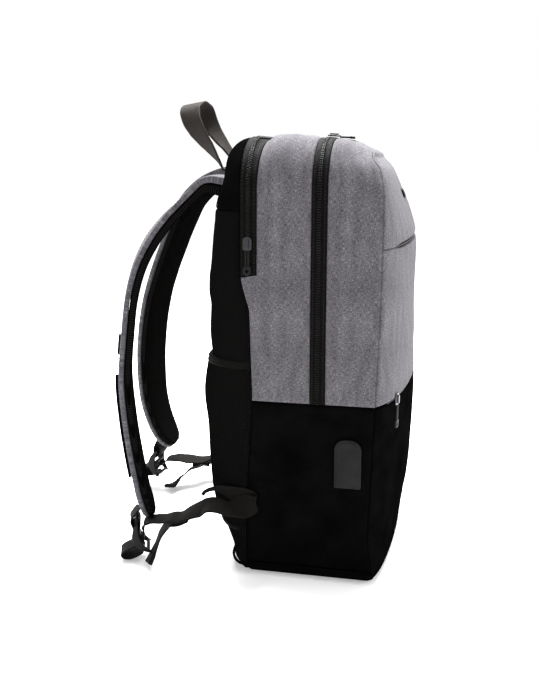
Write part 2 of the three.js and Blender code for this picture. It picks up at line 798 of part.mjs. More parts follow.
// Front panels
function addFront() {
  const slit = prism(slitShape(), "front", vector(0, 0, slitHeight));
  const seamLow = blackHeight - lowerSlitOpening / 2;
  const seamHigh = blackHeight + lowerSlitOpening / 2;
  addPiece("front_top_panel", frontShell.intersect(layer(slitHeight, reach)).subtract(slit), "greyCloth");
  addPiece("front_pocket_panel", frontShell.intersect(layer(seamHigh, slitHeight)).subtract(slit), "greyCloth");
  addPiece("front_lower_panel", frontShell.intersect(layer(-reach, seamLow)), "blackCloth");
  const outerInset = clothWall + seamGap;
  const tape = capShell("front", frontFullnessAt, outerInset, outerInset + zipTapeWall);
  const half = zipTapeWidth / 2;
  const rows = [
    { name: "front_pocket_zip_tape", height: slitHeight },
    { name: "lower_pocket_zip_tape", height: blackHeight },
  ];
  for (const { name, height } of rows) {
    const low = [-slitHalfLength, -reach, height - half];
    const high = [slitHalfLength, 0, height + half];
    addPiece(name, tape.intersect(block(low, high)), "zip");
  }
}

// Side, top and base strips between the seams
function addGusset() {
  const frontEdge = mainZipOffset - zipTapeWidth / 2;
  const backEdge = mainZipOffset + zipTapeWidth / 2;
  const laptopEdge = backSeamDepth - laptopZipWidth;
  const gap = seamGap / 2;
  const grey = gusset.intersect(layer(blackHeight + gap, reach));
  addPiece("front_gusset", grey.intersect(slice(-reach, frontEdge - gap)), "greyCloth");
  addPiece("main_zip_tape", grey.intersect(slice(frontEdge + gap, backEdge - gap)), "zip");
  const behind = grey.intersect(slice(backEdge + gap, reach));
  const laptopTape = block([-reach, laptopEdge + gap, laptopZipLow + gap], [reach, reach, reach]);
  const laptopCut = block([-reach, laptopEdge - gap, laptopZipLow - gap], [reach, reach, reach]);
  addPiece("rear_gusset", behind.subtract(laptopCut), "greyCloth");
  addPiece("laptop_zip_tape", behind.intersect(laptopTape), "zip");
  const black = gusset.intersect(layer(-reach, blackHeight - gap));
  const sides = black.intersect(layer(basePanelHeight + gap, reach));
  addPiece("lower_left_side", sides.intersect(block([-reach, -reach, -reach], [0, reach, reach])), "blackCloth");
  addPiece("lower_right_side", sides.intersect(block([0, -reach, -reach], [reach, reach, reach])), "blackCloth");
  addPiece("base_panel", black.intersect(layer(-reach, basePanelHeight - gap)), "blackCloth");
}

// Points of the body's outline on a plane of constant depth, above a height, from left to right
function archPoints(depth, low) {
  const way = (depth + frontSeamDepth) / (frontSeamDepth + backSeamDepth);
  const right = halfOutline(way, 0).filter(([, z]) => z > low);
  const feet = halfWidthAt(low);
  const rightSide = [[feet, low], ...right];
  const leftSide = rightSide.slice(0, -1).map(([x, z]) => [-x, z]);
  return [...leftSide, ...rightSide.reverse()].map(([x, z]) => vector(x, depth, z));
}

function addCoil(name, depth, low) {
  const along = vector(0, 1, 0);
  const thickness = 4 * zipCoilRise;
  const stations = archPoints(depth, low).map((at) => ({ at, across: along, width: zipCoilWidth, thickness }));
  const band = solidOf(sweep(stations, flatSection, 1));
  addPiece(name, patch(band, seamGap, seamGap + zipCoilRise), "zip");
}

// Padded back, its yoke and its pocket
function addBack() {
  const padded = capShell("back", backFullnessAt, 0, backPadding);
  const gap = seamGap / 2;
  addPiece("back_yoke", padded.intersect(layer(yokeLow + gap, reach)), "blackCloth");
  const insidePocket = capSolid("back", pocketFullnessAt, pocketWall + seamGap);
  const pocketZone = layer(pocketBottom - seamGap, pocketTop + seamGap).subtract(insidePocket);
  const lower = padded.intersect(layer(-reach, yokeLow - gap)).subtract(pocketZone);
  addPiece("back_panel", lower, "mesh");
  const sheet = capShell("back", pocketFullnessAt, 0, pocketWall);
  const hemLow = pocketTop - pocketHemHeight;
  const bindingHigh = pocketBottom + pocketHemHeight / 2;
  addPiece("back_pocket", sheet.intersect(layer(bindingHigh + gap, hemLow - gap)), "mesh");
  const thick = capShell("back", pocketFullnessAt, -pocketHemRise, pocketWall);
  addPiece("back_pocket_hem", thick.intersect(layer(hemLow + gap, pocketTop)), "blackCloth");
  addPiece("back_pocket_binding", thick.intersect(layer(pocketBottom, bindingHigh - gap)), "blackCloth");
}

// Outline of a plate from its lower edge up, with rounded corners
function plateShape(width, height, lowRadius, highRadius) {
  const half = width / 2;
  const shape = new THREE.Shape();
  shape.moveTo(-half + lowRadius, 0);
  shape.lineTo(half - lowRadius, 0);
  shape.absarc(half - lowRadius, lowRadius, lowRadius, -Math.PI / 2, 0);
  shape.lineTo(half, height - highRadius);
  shape.absarc(half - highRadius, height - highRadius, highRadius, 0, Math.PI / 2);
  shape.lineTo(-half + highRadius, height);
  shape.absarc(-half + highRadius, height - highRadius, highRadius, Math.PI / 2, Math.PI);
  shape.lineTo(-half, lowRadius);
  shape.absarc(-half + lowRadius, lowRadius, lowRadius, Math.PI, Math.PI * 1.5);
  return shape;
}

// Long prism of a shape that looks at the body from the front, the left side or the top
function prism(shape, view, place) {
  const geometry = new THREE.ExtrudeGeometry(shape, { depth: bodyWidth, bevelEnabled: false, curveSegments: 2 });
  if (view === "front") {
    geometry.rotateX(Math.PI / 2);
    geometry.translate(place.x, 0, place.z);
  }
  if (view === "left") {
    geometry.rotateX(Math.PI / 2);
    geometry.rotateZ(-Math.PI / 2);
    geometry.translate(0, place.y, place.z);
  }
  if (view === "top") {
    geometry.rotateZ(Math.PI);
    geometry.translate(place.x, place.y, bodyHeight / 2);
  }
  return solidOf(geometry);
}

// Piece that follows the body's surface between two distances from it
function patch(outline, low, high) {
  return outline.intersect(bodySolid(high)).subtract(bodySolid(low));
}

function addBadge() {
  const shape = plateShape(badgeWidth, badgeHeight, 1, 1);
  const outline = prism(shape, "front", vector(0, 0, badgeLow));
  addPiece("badge", patch(outline, seamGap, seamGap + badgeRise), "rubber");
}

// Flap over the charging socket on the left side, with a rounded top
function addSocketFlap() {
  const depth = frontSeamAt(-bodyWidth / 2, flapLow) + flapSetback + flapWidth / 2;
  const shape = plateShape(flapWidth, flapHeight, 2, flapWidth * 0.4);
  const outline = prism(shape, "left", vector(0, depth, flapLow));
  addPiece("socket_flap", patch(outline, seamGap, seamGap + flapRise), "rubber");
}

// Zip sliders over their coils, with a pull that lies on the body
function addSliders() {
  const overCoil = zipCoilRise + 2 * seamGap;
  const slider = plateShape(sliderWidth, sliderLength, 2, 2);
  const pull = plateShape(pullWidth, pullLength, 3, 1.5);
  const shortPull = plateShape(pullWidth, mainPullLength, 3, 1.5);
  const laptopDepth = backSeamDepth - laptopZipWidth / 2;
  const sliderTop = vector(0, laptopDepth, laptopSliderHigh);
  const pullTop = vector(0, laptopDepth, laptopSliderHigh - pullLength - seamGap);
  addPiece("laptop_zip_slider", patch(prism(slider, "left", sliderTop), overCoil, overCoil + sliderRise), "metal");
  addPiece("laptop_zip_pull", patch(prism(pull, "left", pullTop), overCoil, overCoil + pullRise), "rubber");
  const mainPlace = vector(-mainSliderAside, mainZipOffset + sliderLength / 2, 0);
  const mainPull = vector(-mainSliderAside, mainZipOffset - sliderLength / 2 - seamGap, 0);
  addPiece("main_zip_slider", patch(prism(slider, "top", mainPlace), overCoil, overCoil + sliderRise), "metal");
  addPiece("main_zip_pull", patch(prism(shortPull, "top", mainPull), seamGap, seamGap + pullRise), "rubber");
  const lowerSlider = vector(-lowerSliderAside, 0, blackHeight - sliderLength / 2);
  const lowerPull = vector(-lowerSliderAside, 0, blackHeight - sliderLength / 2 - pullLength - seamGap);
  addPiece("lower_pocket_slider", patch(prism(slider, "front", lowerSlider), seamGap, sliderRise), "metal");
  addPiece("lower_pocket_pull", patch(prism(pull, "front", lowerPull), seamGap, pullRise), "rubber");
}

function addPiping() {
  const band = layer(pipingLow, pipingLow + pipingWidth);
  addPiece("base_piping", patch(band, 2 * seamGap, 2 * seamGap + pipingRise), "blackCloth");
}

// Direction of a band's width that turns about the upright axis, away from the body's middle
function turnedAcross(side, degrees) {
  const angle = THREE.MathUtils.degToRad(degrees);
  return vector(Math.cos(angle), -side * Math.sin(angle), 0);
}

function strapStations({ side, spread, reach: out, drop, turn, route }) {
  const rootX = (side * strapRootSpacing) / 2;
  const rootY = backSurfaceAt(rootX, strapRootHeight);
  return route.map((row) => ({
    at: vector(
      rootX + side * spread * row.aside,
      rootY + out * row.out,
      strapRootHeight - drop * row.down,
    ),
    across: turnedAcross(side, turn * row.turn),
    width: strapWidth * row.width,
    thickness: row.thickness,
  }));
}

// Place on a strap's middle, with its outward direction
function strapFrame(strap, index) {
  const stations = strapStations(strap);
  const station = stations[index];
  const before = stations[index - 1];
  const tangent = station.at.clone().sub(before.at).normalize();
  return { at: station.at, outwards: station.across.clone().cross(tangent).normalize() };
}

// Sections of the strap's layers, across its width and through its thickness
const strapMiddle = (padThickness - coverThickness) / 2;
const coverTop = strapMiddle + coverThickness;
const padBottom = strapMiddle - padThickness;
const coverSection = [
  [-0.5, strapMiddle + seamGap / 2],
  [0.5, strapMiddle + seamGap / 2],
  [0.5, coverTop - strapEdgeRounding],
  [0.43, coverTop],
  [-0.43, coverTop],
  [-0.5, coverTop - strapEdgeRounding],
];
const padSection = [
  [0.5, strapMiddle - seamGap / 2],
  [-0.5, strapMiddle - seamGap / 2],
  [-0.5, padBottom + 2 * strapEdgeRounding],
  [-0.42, padBottom],
  [0.42, padBottom],
  [0.5, padBottom + 2 * strapEdgeRounding],
];

function bandOnCover(width, rise) {
  const half = width / strapWidth / 2;
  const low = coverTop + seamGap;
  return [[-half, low], [half, low], [half, low + rise], [-half, low + rise]];
}

function addStrap(name, strap) {
  const stations = strapStations(strap);
  const cover = solidOf(sweep(stations, coverSection, 2));
  const pad = solidOf(sweep(stations, padSection, 2));
  addPiece(name + "_strap_cover", cover.subtract(envelope), "greyCloth");
  addPiece(name + "_strap_pad", pad.subtract(envelope), "mesh");
}

// The space of a strap, with its seam gap
function strapSpace(strap) {
  const half = 0.5 + seamGap / strapWidth;
  const low = padBottom - seamGap;
  const high = coverTop + seamGap;
  const section = [[-half, low], [half, low], [half, high], [-half, high]];
  return solidOf(sweep(strapStations(strap), section, 2));
}

// Flat pocket low on the left strap's outer face, with its pull above it
function addStrapPocket() {
  const stations = strapStations(straps.left);
  const pocket = bandOnCover(strapPocketWidth, strapPocketRise);
  const pull = bandOnCover(strapPullWidth, pullRise);
  addPiece("strap_pocket", sweep(stations, pocket, 2, 18, 23), "blackCloth");
  addPiece("strap_pocket_pull", sweep(stations, pull, 2, 16, 17), "rubber");
}

// Centre and directions of a ladder lock
function lockFrame(strap) {
  const { at } = strapFrame(strap, strap.route.length - 1);
  const { aside, out, down, lean, turn } = strap.lock;
  const angle = THREE.MathUtils.degToRad(lean);
  const across = turnedAcross(strap.side, turn);
  const up = vector(0, 0, 1);
  const level = up.clone().cross(across);
  return {
    centre: vector(at.x + strap.side * aside, at.y + out, at.z - down),
    across,
    downwards: level.clone().multiplyScalar(-Math.sin(angle)).addScaledVector(up, -Math.cos(angle)),
    outwards: level.clone().multiplyScalar(Math.cos(angle)).addScaledVector(up, -Math.sin(angle)),
  };
}

// How far the lock's plate bows outwards at a share of its length below its middle
function lockBowAt(down) {
  return lockBow * Math.max(0, 1 - (2 * down) ** 2);
}

// Place in a lock's frame: share of its length below its middle, and distance outwards from its plate
function lockPlace({ centre, downwards, outwards }, down, off) {
  const at = centre.clone().addScaledVector(downwards, lockLength * down);
  return at.addScaledVector(outwards, off + lockBowAt(down));
}

// Ladder lock: a bowed frame with two slots, grown by a clearance where it cuts the webbing
function lockSolid(strap, clearance) {
  const { centre, across, downwards, outwards } = lockFrame(strap);
  const half = lockWidth / 2 + clearance;
  const length = lockLength + 2 * clearance;
  const side = lockLevels.map((share) => [half, share * length]);
  const right = [[half - lockCorner, 0], ...side, [half - lockCorner, length]];
  const left = right.map(([x, y]) => [-x, y]).reverse();
  const shape = new THREE.Shape([...right, ...left].map(([x, y]) => new THREE.Vector2(x, y)));
  const slotHeight = (lockLength - 3 * lockBar) / 2 - 2 * clearance;
  const slotHalf = lockWidth / 2 - lockBar - clearance;
  for (const slotLow of [lockBar + 2 * clearance, (lockLength + lockBar) / 2 + 2 * clearance]) {
    const levels = [slotLow, slotLow + slotHeight / 2, slotLow + slotHeight];
    const edge = levels.map((y) => new THREE.Vector2(-slotHalf, y));
    const otherEdge = levels.map((y) => new THREE.Vector2(slotHalf, y)).reverse();
    shape.holes.push(new THREE.Path([...edge, ...otherEdge]));
  }
  const depth = lockThickness + 2 * clearance;
  const geometry = new THREE.ExtrudeGeometry(shape, { depth, bevelEnabled: false });
  geometry.translate(0, -length / 2, -depth / 2);
  const places = geometry.getAttribute("position");
  for (let index = 0; index < places.count; index += 1) {
    places.setZ(index, places.getZ(index) + lockBowAt(places.getY(index) / length));
  }
  const basis = new THREE.Matrix4().makeBasis(across.clone().negate(), downwards.clone().negate(), outwards);
  geometry.applyMatrix4(basis.setPosition(centre));
  return solidOf(geometry);
}

function wingStations(side) {
  const skinX = halfWidthAt(wingHeight) + seamGap;
  const seam = backSeamAt(wingHeight);
  return wingRoute.map((row) => ({
    at: vector(side * (skinX + wingBulge * row.out), seam + wingLength * row.along, wingHeight * (1 + row.up)),
    across: webbingAcross(side, row.turn, 0),
    width: webbingWidth * row.width,
    thickness: webbingThickness,
  }));
}

// First two places of the webbing, which goes on past the wing's end in the wing's direction
function webbingStart(side) {
  const [before, end] = wingStations(side).slice(-2);
  const onwards = end.at.clone().sub(before.at).normalize();
  const places = [2 * seamGap, webbingThickness].map((past) => end.at.clone().addScaledVector(onwards, past));
  return places.map((at) => ({ at, across: end.across }));
}

// Direction of a webbing's width, which tilts from upright to flat and turns about the upright axis
function webbingAcross(side, tilt, turn) {
  const angle = THREE.MathUtils.degToRad(tilt);
  return vector(0, 0, Math.cos(angle)).addScaledVector(turnedAcross(side, turn), -side * Math.sin(angle));
}

function webbingStations(strap) {
  const frame = lockFrame(strap);
  const first = webbingStart(strap.side);
  const slot = lockPlace(frame, slotShare, 0);
  const way = strap.webbing.map((row) => {
    const at = first[0].at.clone().lerp(slot, row.way);
    at.x += strap.side * strap.bow * row.bow;
    at.z += strap.arch * row.rise;
    return { at, across: webbingAcross(strap.side, row.turn, strap.lock.turn * row.way) };
  });
  const loop = loopRoute.map((row) => {
    const at = lockPlace(frame, row.down, strap.loopLength * row.off);
    at.x += strap.side * strap.loopAside * row.off;
    return { at, across: frame.across.clone().multiplyScalar(-strap.side) };
  });
  const stations = [...first, ...way, ...loop];
  return stations.map((station) => ({ ...station, width: webbingWidth, thickness: webbingThickness }));
}

// Loose end, under the webbing from the wing on, then hanging free to its folded end
function tailStations(strap) {
  const webbing = webbingStations(strap).slice(webbingStart(strap.side).length - 1);
  const under = webbing.slice(1, strap.tailLeaves).map((station, index) => {
    const tangent = webbing[index + 2].at.clone().sub(webbing[index].at);
    const through = station.across.clone().cross(tangent).normalize();
    const drop = strap.side * (webbingThickness + webbingPlyGap) * (1 + index * tailSag);
    return { ...station, at: station.at.clone().addScaledVector(through, drop) };
  });
  const leave = under[under.length - 1].at;
  const foldedRow = strap.tail.length - tailFoldedRows;
  const free = strap.tail.map((row, index) => ({
    at: vector(
      leave.x + strap.side * strap.tailLength * row.aside,
      leave.y + strap.tailLength * row.out,
      leave.z - strap.tailLength * row.down,
    ),
    across: webbingAcross(strap.side, row.turn, strap.lock.turn),
    width: webbingWidth,
    thickness: index < foldedRow ? webbingThickness : foldedEndThickness,
  }));
  return [...under, ...free];
}

function topWebbingStations(strap) {
  const frame = lockFrame(strap);
  const clearance = (lockThickness + webbingThickness) / 2 + barClearance;
  const { at, outwards } = strapFrame(strap, strap.route.length - 3);
  const start = at.clone().addScaledVector(outwards, coverTop + seamGap + webbingThickness / 2);
  const round = topBarRoute.map((row) => lockPlace(frame, row.down, clearance * row.off));
  return [start, ...round].map((place) => ({
    at: place,
    across: frame.across,
    width: webbingWidth,
    thickness: webbingThickness,
  }));
}

function addAnchors(name, strap) {
  const lockCutter = lockSolid(strap, lockClearance);
  addPiece(name + "_ladder_lock", lockSolid(strap, 0), "plastic");
  addPiece(name + "_wing", solidOf(sweep(wingStations(strap.side), flatSection, 1)).subtract(envelope), "webbing");
  const webbing = solidOf(sweep(webbingStations(strap), flatSection, 2));
  addPiece(name + "_webbing", webbing.subtract(lockCutter), "webbing");
  const tail = solidOf(sweep(tailStations(strap), flatSection, 2));
  addPiece(name + "_webbing_tail", tail.subtract(lockCutter), "webbing");
  const top = solidOf(sweep(topWebbingStations(strap), flatSection, 2));
  addPiece(name + "_top_webbing", top.subtract(lockCutter).subtract(strapSpace(strap)), "webbing");
}

// Handle of one band that stands up from both ends and turns flat at its top
function addHandle() {
  const rootY = backSurfaceAt(handleSpacing / 2, handleRootHeight);
  const end = (side) =>
    handleRoute.map((row) => {
      const angle = ((side < 0 ? row.leftTurn : row.rightTurn) * Math.PI) / 2;
      return {
        at: vector(
          (side * handleSpacing * row.aside) / 2,
          rootY + handleLean * row.back,
          handleRootHeight + handleRise * row.up,
        ),
        across: vector(-side * Math.cos(angle), Math.sin(angle), -handleTilt * Math.sin(angle)),
        width: handleWidth,
        thickness: handleThickness,
      };
    });
  const stations = [...end(-1).reverse(), ...end(1).slice(1)];
  const band = solidOf(sweep(stations, flatSection, 2)).subtract(envelope);
  addPiece("handle", band.subtract(strapSpace(straps.left)).subtract(strapSpace(straps.right)), "webbing");
}

addFront();
addGusset();
addCoil("main_zip_coil", mainZipOffset, blackHeight + seamGap);
addCoil("laptop_zip_coil", backSeamDepth - laptopZipWidth / 2, laptopZipLow + seamGap);
addBack();
addBadge();
addSocketFlap();
addSliders();
addPiping();
for (const [name, strap] of Object.entries(straps)) {
  addStrap(name, strap);
  addAnchors(name, strap);
}
addStrapPocket();
addHandle();

export default group;
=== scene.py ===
import math

import bmesh
import bpy
import numpy as np
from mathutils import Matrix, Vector


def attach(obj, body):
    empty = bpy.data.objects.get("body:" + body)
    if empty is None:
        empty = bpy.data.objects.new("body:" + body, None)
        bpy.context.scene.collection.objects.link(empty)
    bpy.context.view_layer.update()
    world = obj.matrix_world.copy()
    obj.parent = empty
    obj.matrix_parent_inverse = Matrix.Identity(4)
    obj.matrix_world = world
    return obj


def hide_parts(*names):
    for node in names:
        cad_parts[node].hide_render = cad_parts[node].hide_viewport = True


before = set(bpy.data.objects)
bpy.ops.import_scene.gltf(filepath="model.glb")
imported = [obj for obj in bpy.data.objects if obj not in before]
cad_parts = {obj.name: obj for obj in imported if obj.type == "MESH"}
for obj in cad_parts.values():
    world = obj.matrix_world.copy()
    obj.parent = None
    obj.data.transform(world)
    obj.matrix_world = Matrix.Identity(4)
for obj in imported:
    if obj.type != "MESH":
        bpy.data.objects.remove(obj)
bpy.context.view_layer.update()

# Lengths are in millimetres until a mesh is made.
MM = 0.001

# Body
body_height = 453.0
body_width = 300.0
front_seam_depth = 65.0
back_seam_depth = 74.0
front_bulge = 28.0
back_bulge = 58.0
top_corner_radius = 52.0
base_corner_radius = 13.0
front_shoulder = 45.0
back_shoulder = 45.0
front_top_rounding = 16.0
back_top_rounding = 25.0
base_rounding = 14.0
far_corner_slump = 18.0
slump_low = 0.74
slump_rise = 0.2
spine_recess = 8.0
spine_half_width = 104.0
seam_gap = 0.3
front_dome_share = 0.7
back_dome_share = 0.12

# Colour boundary, pockets and zips
black_height = 190.5
base_panel_height = 14.0
slit_height = 345.0
slit_opening = 4.6
slit_half_length = 128.0
slit_taper = 36.0
lower_slit_opening = 2.4
slit_reach = 14.0
pocket_hem_rise = 1.2
badge_width = 26.0
badge_height = 9.0
badge_rise = 1.4
badge_low = 388.0
flap_width = 27.0
flap_height = 51.0
flap_rise = 4.0
flap_low = 106.0
flap_setback = 9.0
slider_length = 13.0
slider_width = 9.0
slider_rise = 3.0
pull_length = 24.0
pull_width = 8.0
pull_rise = 2.4
main_pull_length = 15.0
main_slider_aside = 0.2 * body_width
lower_slider_aside = 0.36 * body_width
laptop_slider_high = 342.0
piping_low = 8.0
piping_width = 3.2
piping_rise = 1.5
tooth_pitch = 2.4
stitch_length = 2.5
stitch_pitch = 3.7
thread_width = 0.45
slit_tape_depth = 2.9
slit_teeth_depth = 2.2
weld_distance = 0.00002
top_seam_height = 400.0
above_all = 1000.0
main_zip_offset = -4.0
zip_tape_width = 15.0
zip_coil_rise = 1.1
laptop_zip_width = 16.5
laptop_zip_low = 316.0
yoke_low = 380.0
pocket_top = 231.0
pocket_bottom = 48.0
pocket_wall = 2.0
pocket_hem_height = 9.0
pocket_slack = 5.5

# Straps, handle and webbing
strap_width = 62.0
cover_thickness = 6.0
pad_thickness = 8.4
strap_root_height = 403.0
strap_root_spacing = 124.0
strap_pocket_width = 48.0
strap_pocket_rise = 3.0
strap_pull_width = 7.0
handle_width = 26.0
handle_thickness = 2.4
handle_spacing = 70.0
handle_rise = 86.0
handle_lean = 58.0
handle_root_height = 402.0
handle_tilt = 0.17
webbing_width = 25.0
webbing_thickness = 1.8
webbing_ply_gap = 1.0
tail_sag = 0.45
lock_width = 33.0
lock_length = 34.0
lock_thickness = 3.6
lock_bar = 3.4
lock_bow = 5.0
rail_depth = 5.0
slot_share = 0.23
bar_clearance = 1.2
wing_height = 80.0
wing_length = 45.0
wing_bulge = 16.0
folded_end_thickness = 4.4
tail_folded_rows = 3

# Share of the body's height, share of its half width
body_widths = [(0, 0.94), (0.06, 0.965), (0.3, 0.99), (0.6, 1), (0.85, 0.985), (1, 0.97)]

# Share of the way from the front seam to the back seam, the top's share of the body's height
top_line = [
    (0, 0.961), (0.12, 0.975), (0.26, 0.989), (0.44, 0.992), (0.65, 1),
    (0.78, 0.997), (0.87, 0.984), (0.96, 0.995), (1, 0.993),
]

# Share of the body's height, share of the front seam's depth
front_seam_line = [
    (0, 0.93), (0.025, 0.93), (0.12, 0.87), (0.23, 0.895), (0.43, 0.945),
    (0.66, 0.99), (0.84, 1), (0.885, 0.985), (0.92, 0.94), (0.95, 0.8),
]

# Share of the body's height, share of the back seam's depth
back_seam_line = [
    (0, 0.95), (0.14, 0.93), (0.24, 0.905), (0.33, 0.865), (0.42, 0.84),
    (0.54, 0.86), (0.62, 0.875), (0.66, 0.94), (0.7, 0.99), (1, 1),
]

# Share of the body's height, share of the front's bulge
front_fullness = [
    (0, 0.42), (0.055, 0.56), (0.11, 0.81), (0.165, 0.93), (0.33, 0.99), (0.44, 0.93),
    (0.57, 0.775), (0.77, 0.7), (0.83, 0.565), (0.88, 0.375), (0.95, 0.195),
]

# Share of the body's height, share of the back's bulge
back_fullness = [
    (0, 0.44), (0.045, 0.44), (0.09, 0.55), (0.155, 0.76), (0.245, 0.87), (0.33, 0.945),
    (0.42, 0.97), (0.5, 0.935), (0.56, 0.976), (0.63, 0.91), (0.71, 0.735), (0.78, 0.7),
    (0.85, 0.62), (0.91, 0.47), (0.96, 0.45), (1, 0.5),
]

# Share of the back pocket's height, share of its slack
pocket_looseness = [(0, 0.03), (0.3, 0.3), (0.55, 0.35), (0.77, 1), (0.92, 0.65), (1, 0.06)]

# Each strap's route: out, aside, down, turn, width, thickness, as shares
straps = {
    "left": {
        "side": -1, "spread": 63, "reach": 114, "drop": 354, "turn": 20,
        "lock": {"aside": 5, "out": 7, "down": 20.5, "lean": 24, "turn": 20},
        "arch": 20, "bow": 0, "loop_length": 28.5, "loop_aside": -3,
        "tail_length": 58, "tail_leaves": 4,
        "route": [
            (-0.046, 0, 0.013, 0, 1, 1.5), (0.197, 0, 0.002, 0.1, 1, 1.25),
            (0.346, 0.016, 0.032, 0.4, 1, 1.05),
            (0.495, 0.05, 0.071, 0.7, 1, 1), (0.631, 0.08, 0.111, 0.9, 1, 1), (0.786, 0.14, 0.175, 1, 1, 1),
            (0.899, 0.22, 0.251, 1, 1, 1), (0.965, 0.3, 0.338, 1, 1, 1), (0.993, 0.43, 0.459, 1, 1, 1),
            (1, 0.56, 0.581, 1, 1, 1), (0.947, 0.7, 0.7, 1, 0.95, 1), (0.868, 0.825, 0.821, 1, 0.87, 1),
            (0.777, 0.94, 0.929, 1, 0.78, 1), (0.737, 0.97, 0.966, 1, 0.7, 0.97),
            (0.712, 0.99, 0.989, 1, 0.55, 0.9), (0.7, 1, 1, 1, 0.3, 0.75),
        ],
        "webbing": [
            (0.213, 0.135, 0, 76), (0.379, 0.22, 0, 88), (0.51, 0.435, 0, 90), (0.638, 0.61, 0, 94),
            (0.806, 0.87, 0, 96), (0.95, 0.95, 0, 95), (0.985, 0.55, 0, 92), (0.985, 0.15, 0, 90),
        ],
        "tail": [
            (0.155, 0.02, 0.13, 90), (0.24, 0.03, 0.26, 90), (0.32, 0.05, 0.485, 90),
            (0.375, 0.09, 0.63, 90), (0.41, 0.13, 0.72, 90), (0.44, 0.17, 0.79, 90),
        ],
    },
    "right": {
        "side": 1, "spread": 17, "reach": 147, "drop": 340, "turn": 5,
        "lock": {"aside": 0, "out": 19, "down": 26, "lean": 2, "turn": 5},
        "arch": 19, "bow": 8, "loop_length": 22.5, "loop_aside": -2,
        "tail_length": 58, "tail_leaves": 5,
        "route": [
            (-0.037, 0, -0.012, 0, 1, 1.6), (0.191, 0, -0.018, 0.1, 1, 1.55), (0.354, 0, 0, 0.3, 1, 1.4),
            (0.457, 0.02, 0.026, 0.6, 1, 1.25), (0.575, 0.06, 0.078, 0.8, 1, 1.1),
            (0.662, 0.12, 0.149, 1, 1, 1),
            (0.753, 0.24, 0.236, 1, 1, 1), (0.842, 0.35, 0.33, 1, 1, 1), (0.925, 0.47, 0.441, 1, 1, 1),
            (0.984, 0.59, 0.595, 1, 1, 1), (0.997, 0.7, 0.727, 1, 0.97, 1), (0.981, 0.78, 0.825, 1, 0.9, 1),
            (0.93, 0.85, 0.911, 1, 0.82, 1), (0.876, 0.92, 0.962, 1, 0.72, 1),
            (0.836, 0.97, 0.988, 1, 0.55, 0.9), (0.814, 1, 1, 1, 0.3, 0.75),
        ],
        "webbing": [
            (0.12, -0.25, 0.5, 70), (0.283, -0.7, 1, 80), (0.462, -1, 1, 86), (0.611, -0.85, 0.75, 88),
            (0.745, -0.3, 0, 90), (0.827, 0.05, -0.25, 90), (0.917, 0.24, -0.3, 90),
        ],
        "tail": [
            (0.08, -0.2, 0, 86), (0.23, -0.36, 0.05, 88), (0.38, -0.52, 0.17, 90),
            (0.47, -0.66, 0.25, 90), (0.53, -0.75, 0.285, 90), (0.59, -0.83, 0.305, 90),
        ],
    },
}

# Short webbing round the lock's top bar: down, off
top_bar_route = [
    (-0.64, 1), (-0.47, 1.05), (-0.33, 0.7), (-0.23, -0.1), (-0.33, -0.95), (-0.5, -1.05),
    (-0.68, -0.95),
]

# Loop of webbing behind the lock: off, down
loop_route = [
    (0, 0.23), (0.31, 0.19), (0.68, 0.19), (0.95, 0.25), (1, 0.37), (0.85, 0.48),
    (0.58, 0.5), (0.33, 0.48), (0.21, 0.46),
]

# Wing's band from its inner end round the fold to its outer end: along, out, up, turn, width
wing_route = [
    (1.06, 0.075, 0.08, 10, 0.16), (0.97, 0.075, 0.132, 0, 0.16), (0.77, 0.075, 0.175, 0, 0.2),
    (0.48, 0.075, 0.162, 0, 0.42), (0.15, 0.075, 0.097, 0, 0.85), (-0.06, 0.075, 0.058, 0, 0.92),
    (-0.17, 0.1, 0.042, 0, 0.8), (-0.21, 0.18, 0.035, 0, 0.75), (-0.15, 0.29, 0.022, 8, 0.85),
    (0.05, 0.55, 0, 44, 1), (0.3, 1, -0.015, 82, 1), (0.55, 1.06, 0.02, 80, 1),
    (0.77, 0.9, 0.012, 76, 1), (1, 0.55, -0.06, 62, 1),
]

# Handle from its middle to one end: aside, back, up, the left end's turn, the right end's turn
handle_route = [
    (0, 1, 1, 1, 1), (0.4, 1, 0.968, 0.92, 0.85), (0.71, 0.975, 0.9, 0.76, 0.6),
    (0.94, 0.895, 0.773, 0.67, 0.4), (1, 0.8, 0.662, 0.63, 0.28), (1, 0.666, 0.538, 0.52, 0.2),
    (1, 0.561, 0.452, 0.42, 0.1), (1, 0.39, 0.292, 0.22, 0), (1, 0.28, 0.18, 0.16, 0),
    (1, 0.13, 0.165, 0.1, 0), (1, -0.06, 0.17, 0.1, 0),
]


# Arithmetic on arrays

def lookup(rows, place):
    """Value at a place on a smooth curve through a table's rows that never overshoots them."""
    xs, ys = np.array(rows, float).T
    widths = np.diff(xs)
    slopes = np.diff(ys) / widths
    tangents = np.zeros_like(ys)
    tangents[0], tangents[-1] = slopes[0], slopes[-1]
    before, after = slopes[:-1], slopes[1:]
    same_way = before * after > 0
    early = 2 * widths[1:] + widths[:-1]
    late = widths[1:] + 2 * widths[:-1]
    safe_before = np.where(same_way, before, 1)
    safe_after = np.where(same_way, after, 1)
    mean = (early + late) / (early / safe_before + late / safe_after)
    tangents[1:-1] = np.where(same_way, mean, 0)
    place = np.clip(place, xs[0], xs[-1])
    i = np.clip(np.searchsorted(xs, place, side="right") - 1, 0, len(widths) - 1)
    t = (place - xs[i]) / widths[i]
    value = ys[i] * (1 + 2 * t) * (1 - t) ** 2 + ys[i + 1] * t * t * (3 - 2 * t)
    return value + widths[i] * t * (1 - t) * (tangents[i] * (1 - t) - tangents[i + 1] * t)


def quarter_round(share):
    return np.sqrt(1 - (1 - np.clip(share, 0, 1)) ** 2)


def smooth_step(share):
    inside = np.clip(share, 0, 1)
    return inside * inside * (3 - 2 * inside)


def mix(start, end, share):
    return start + (end - start) * share


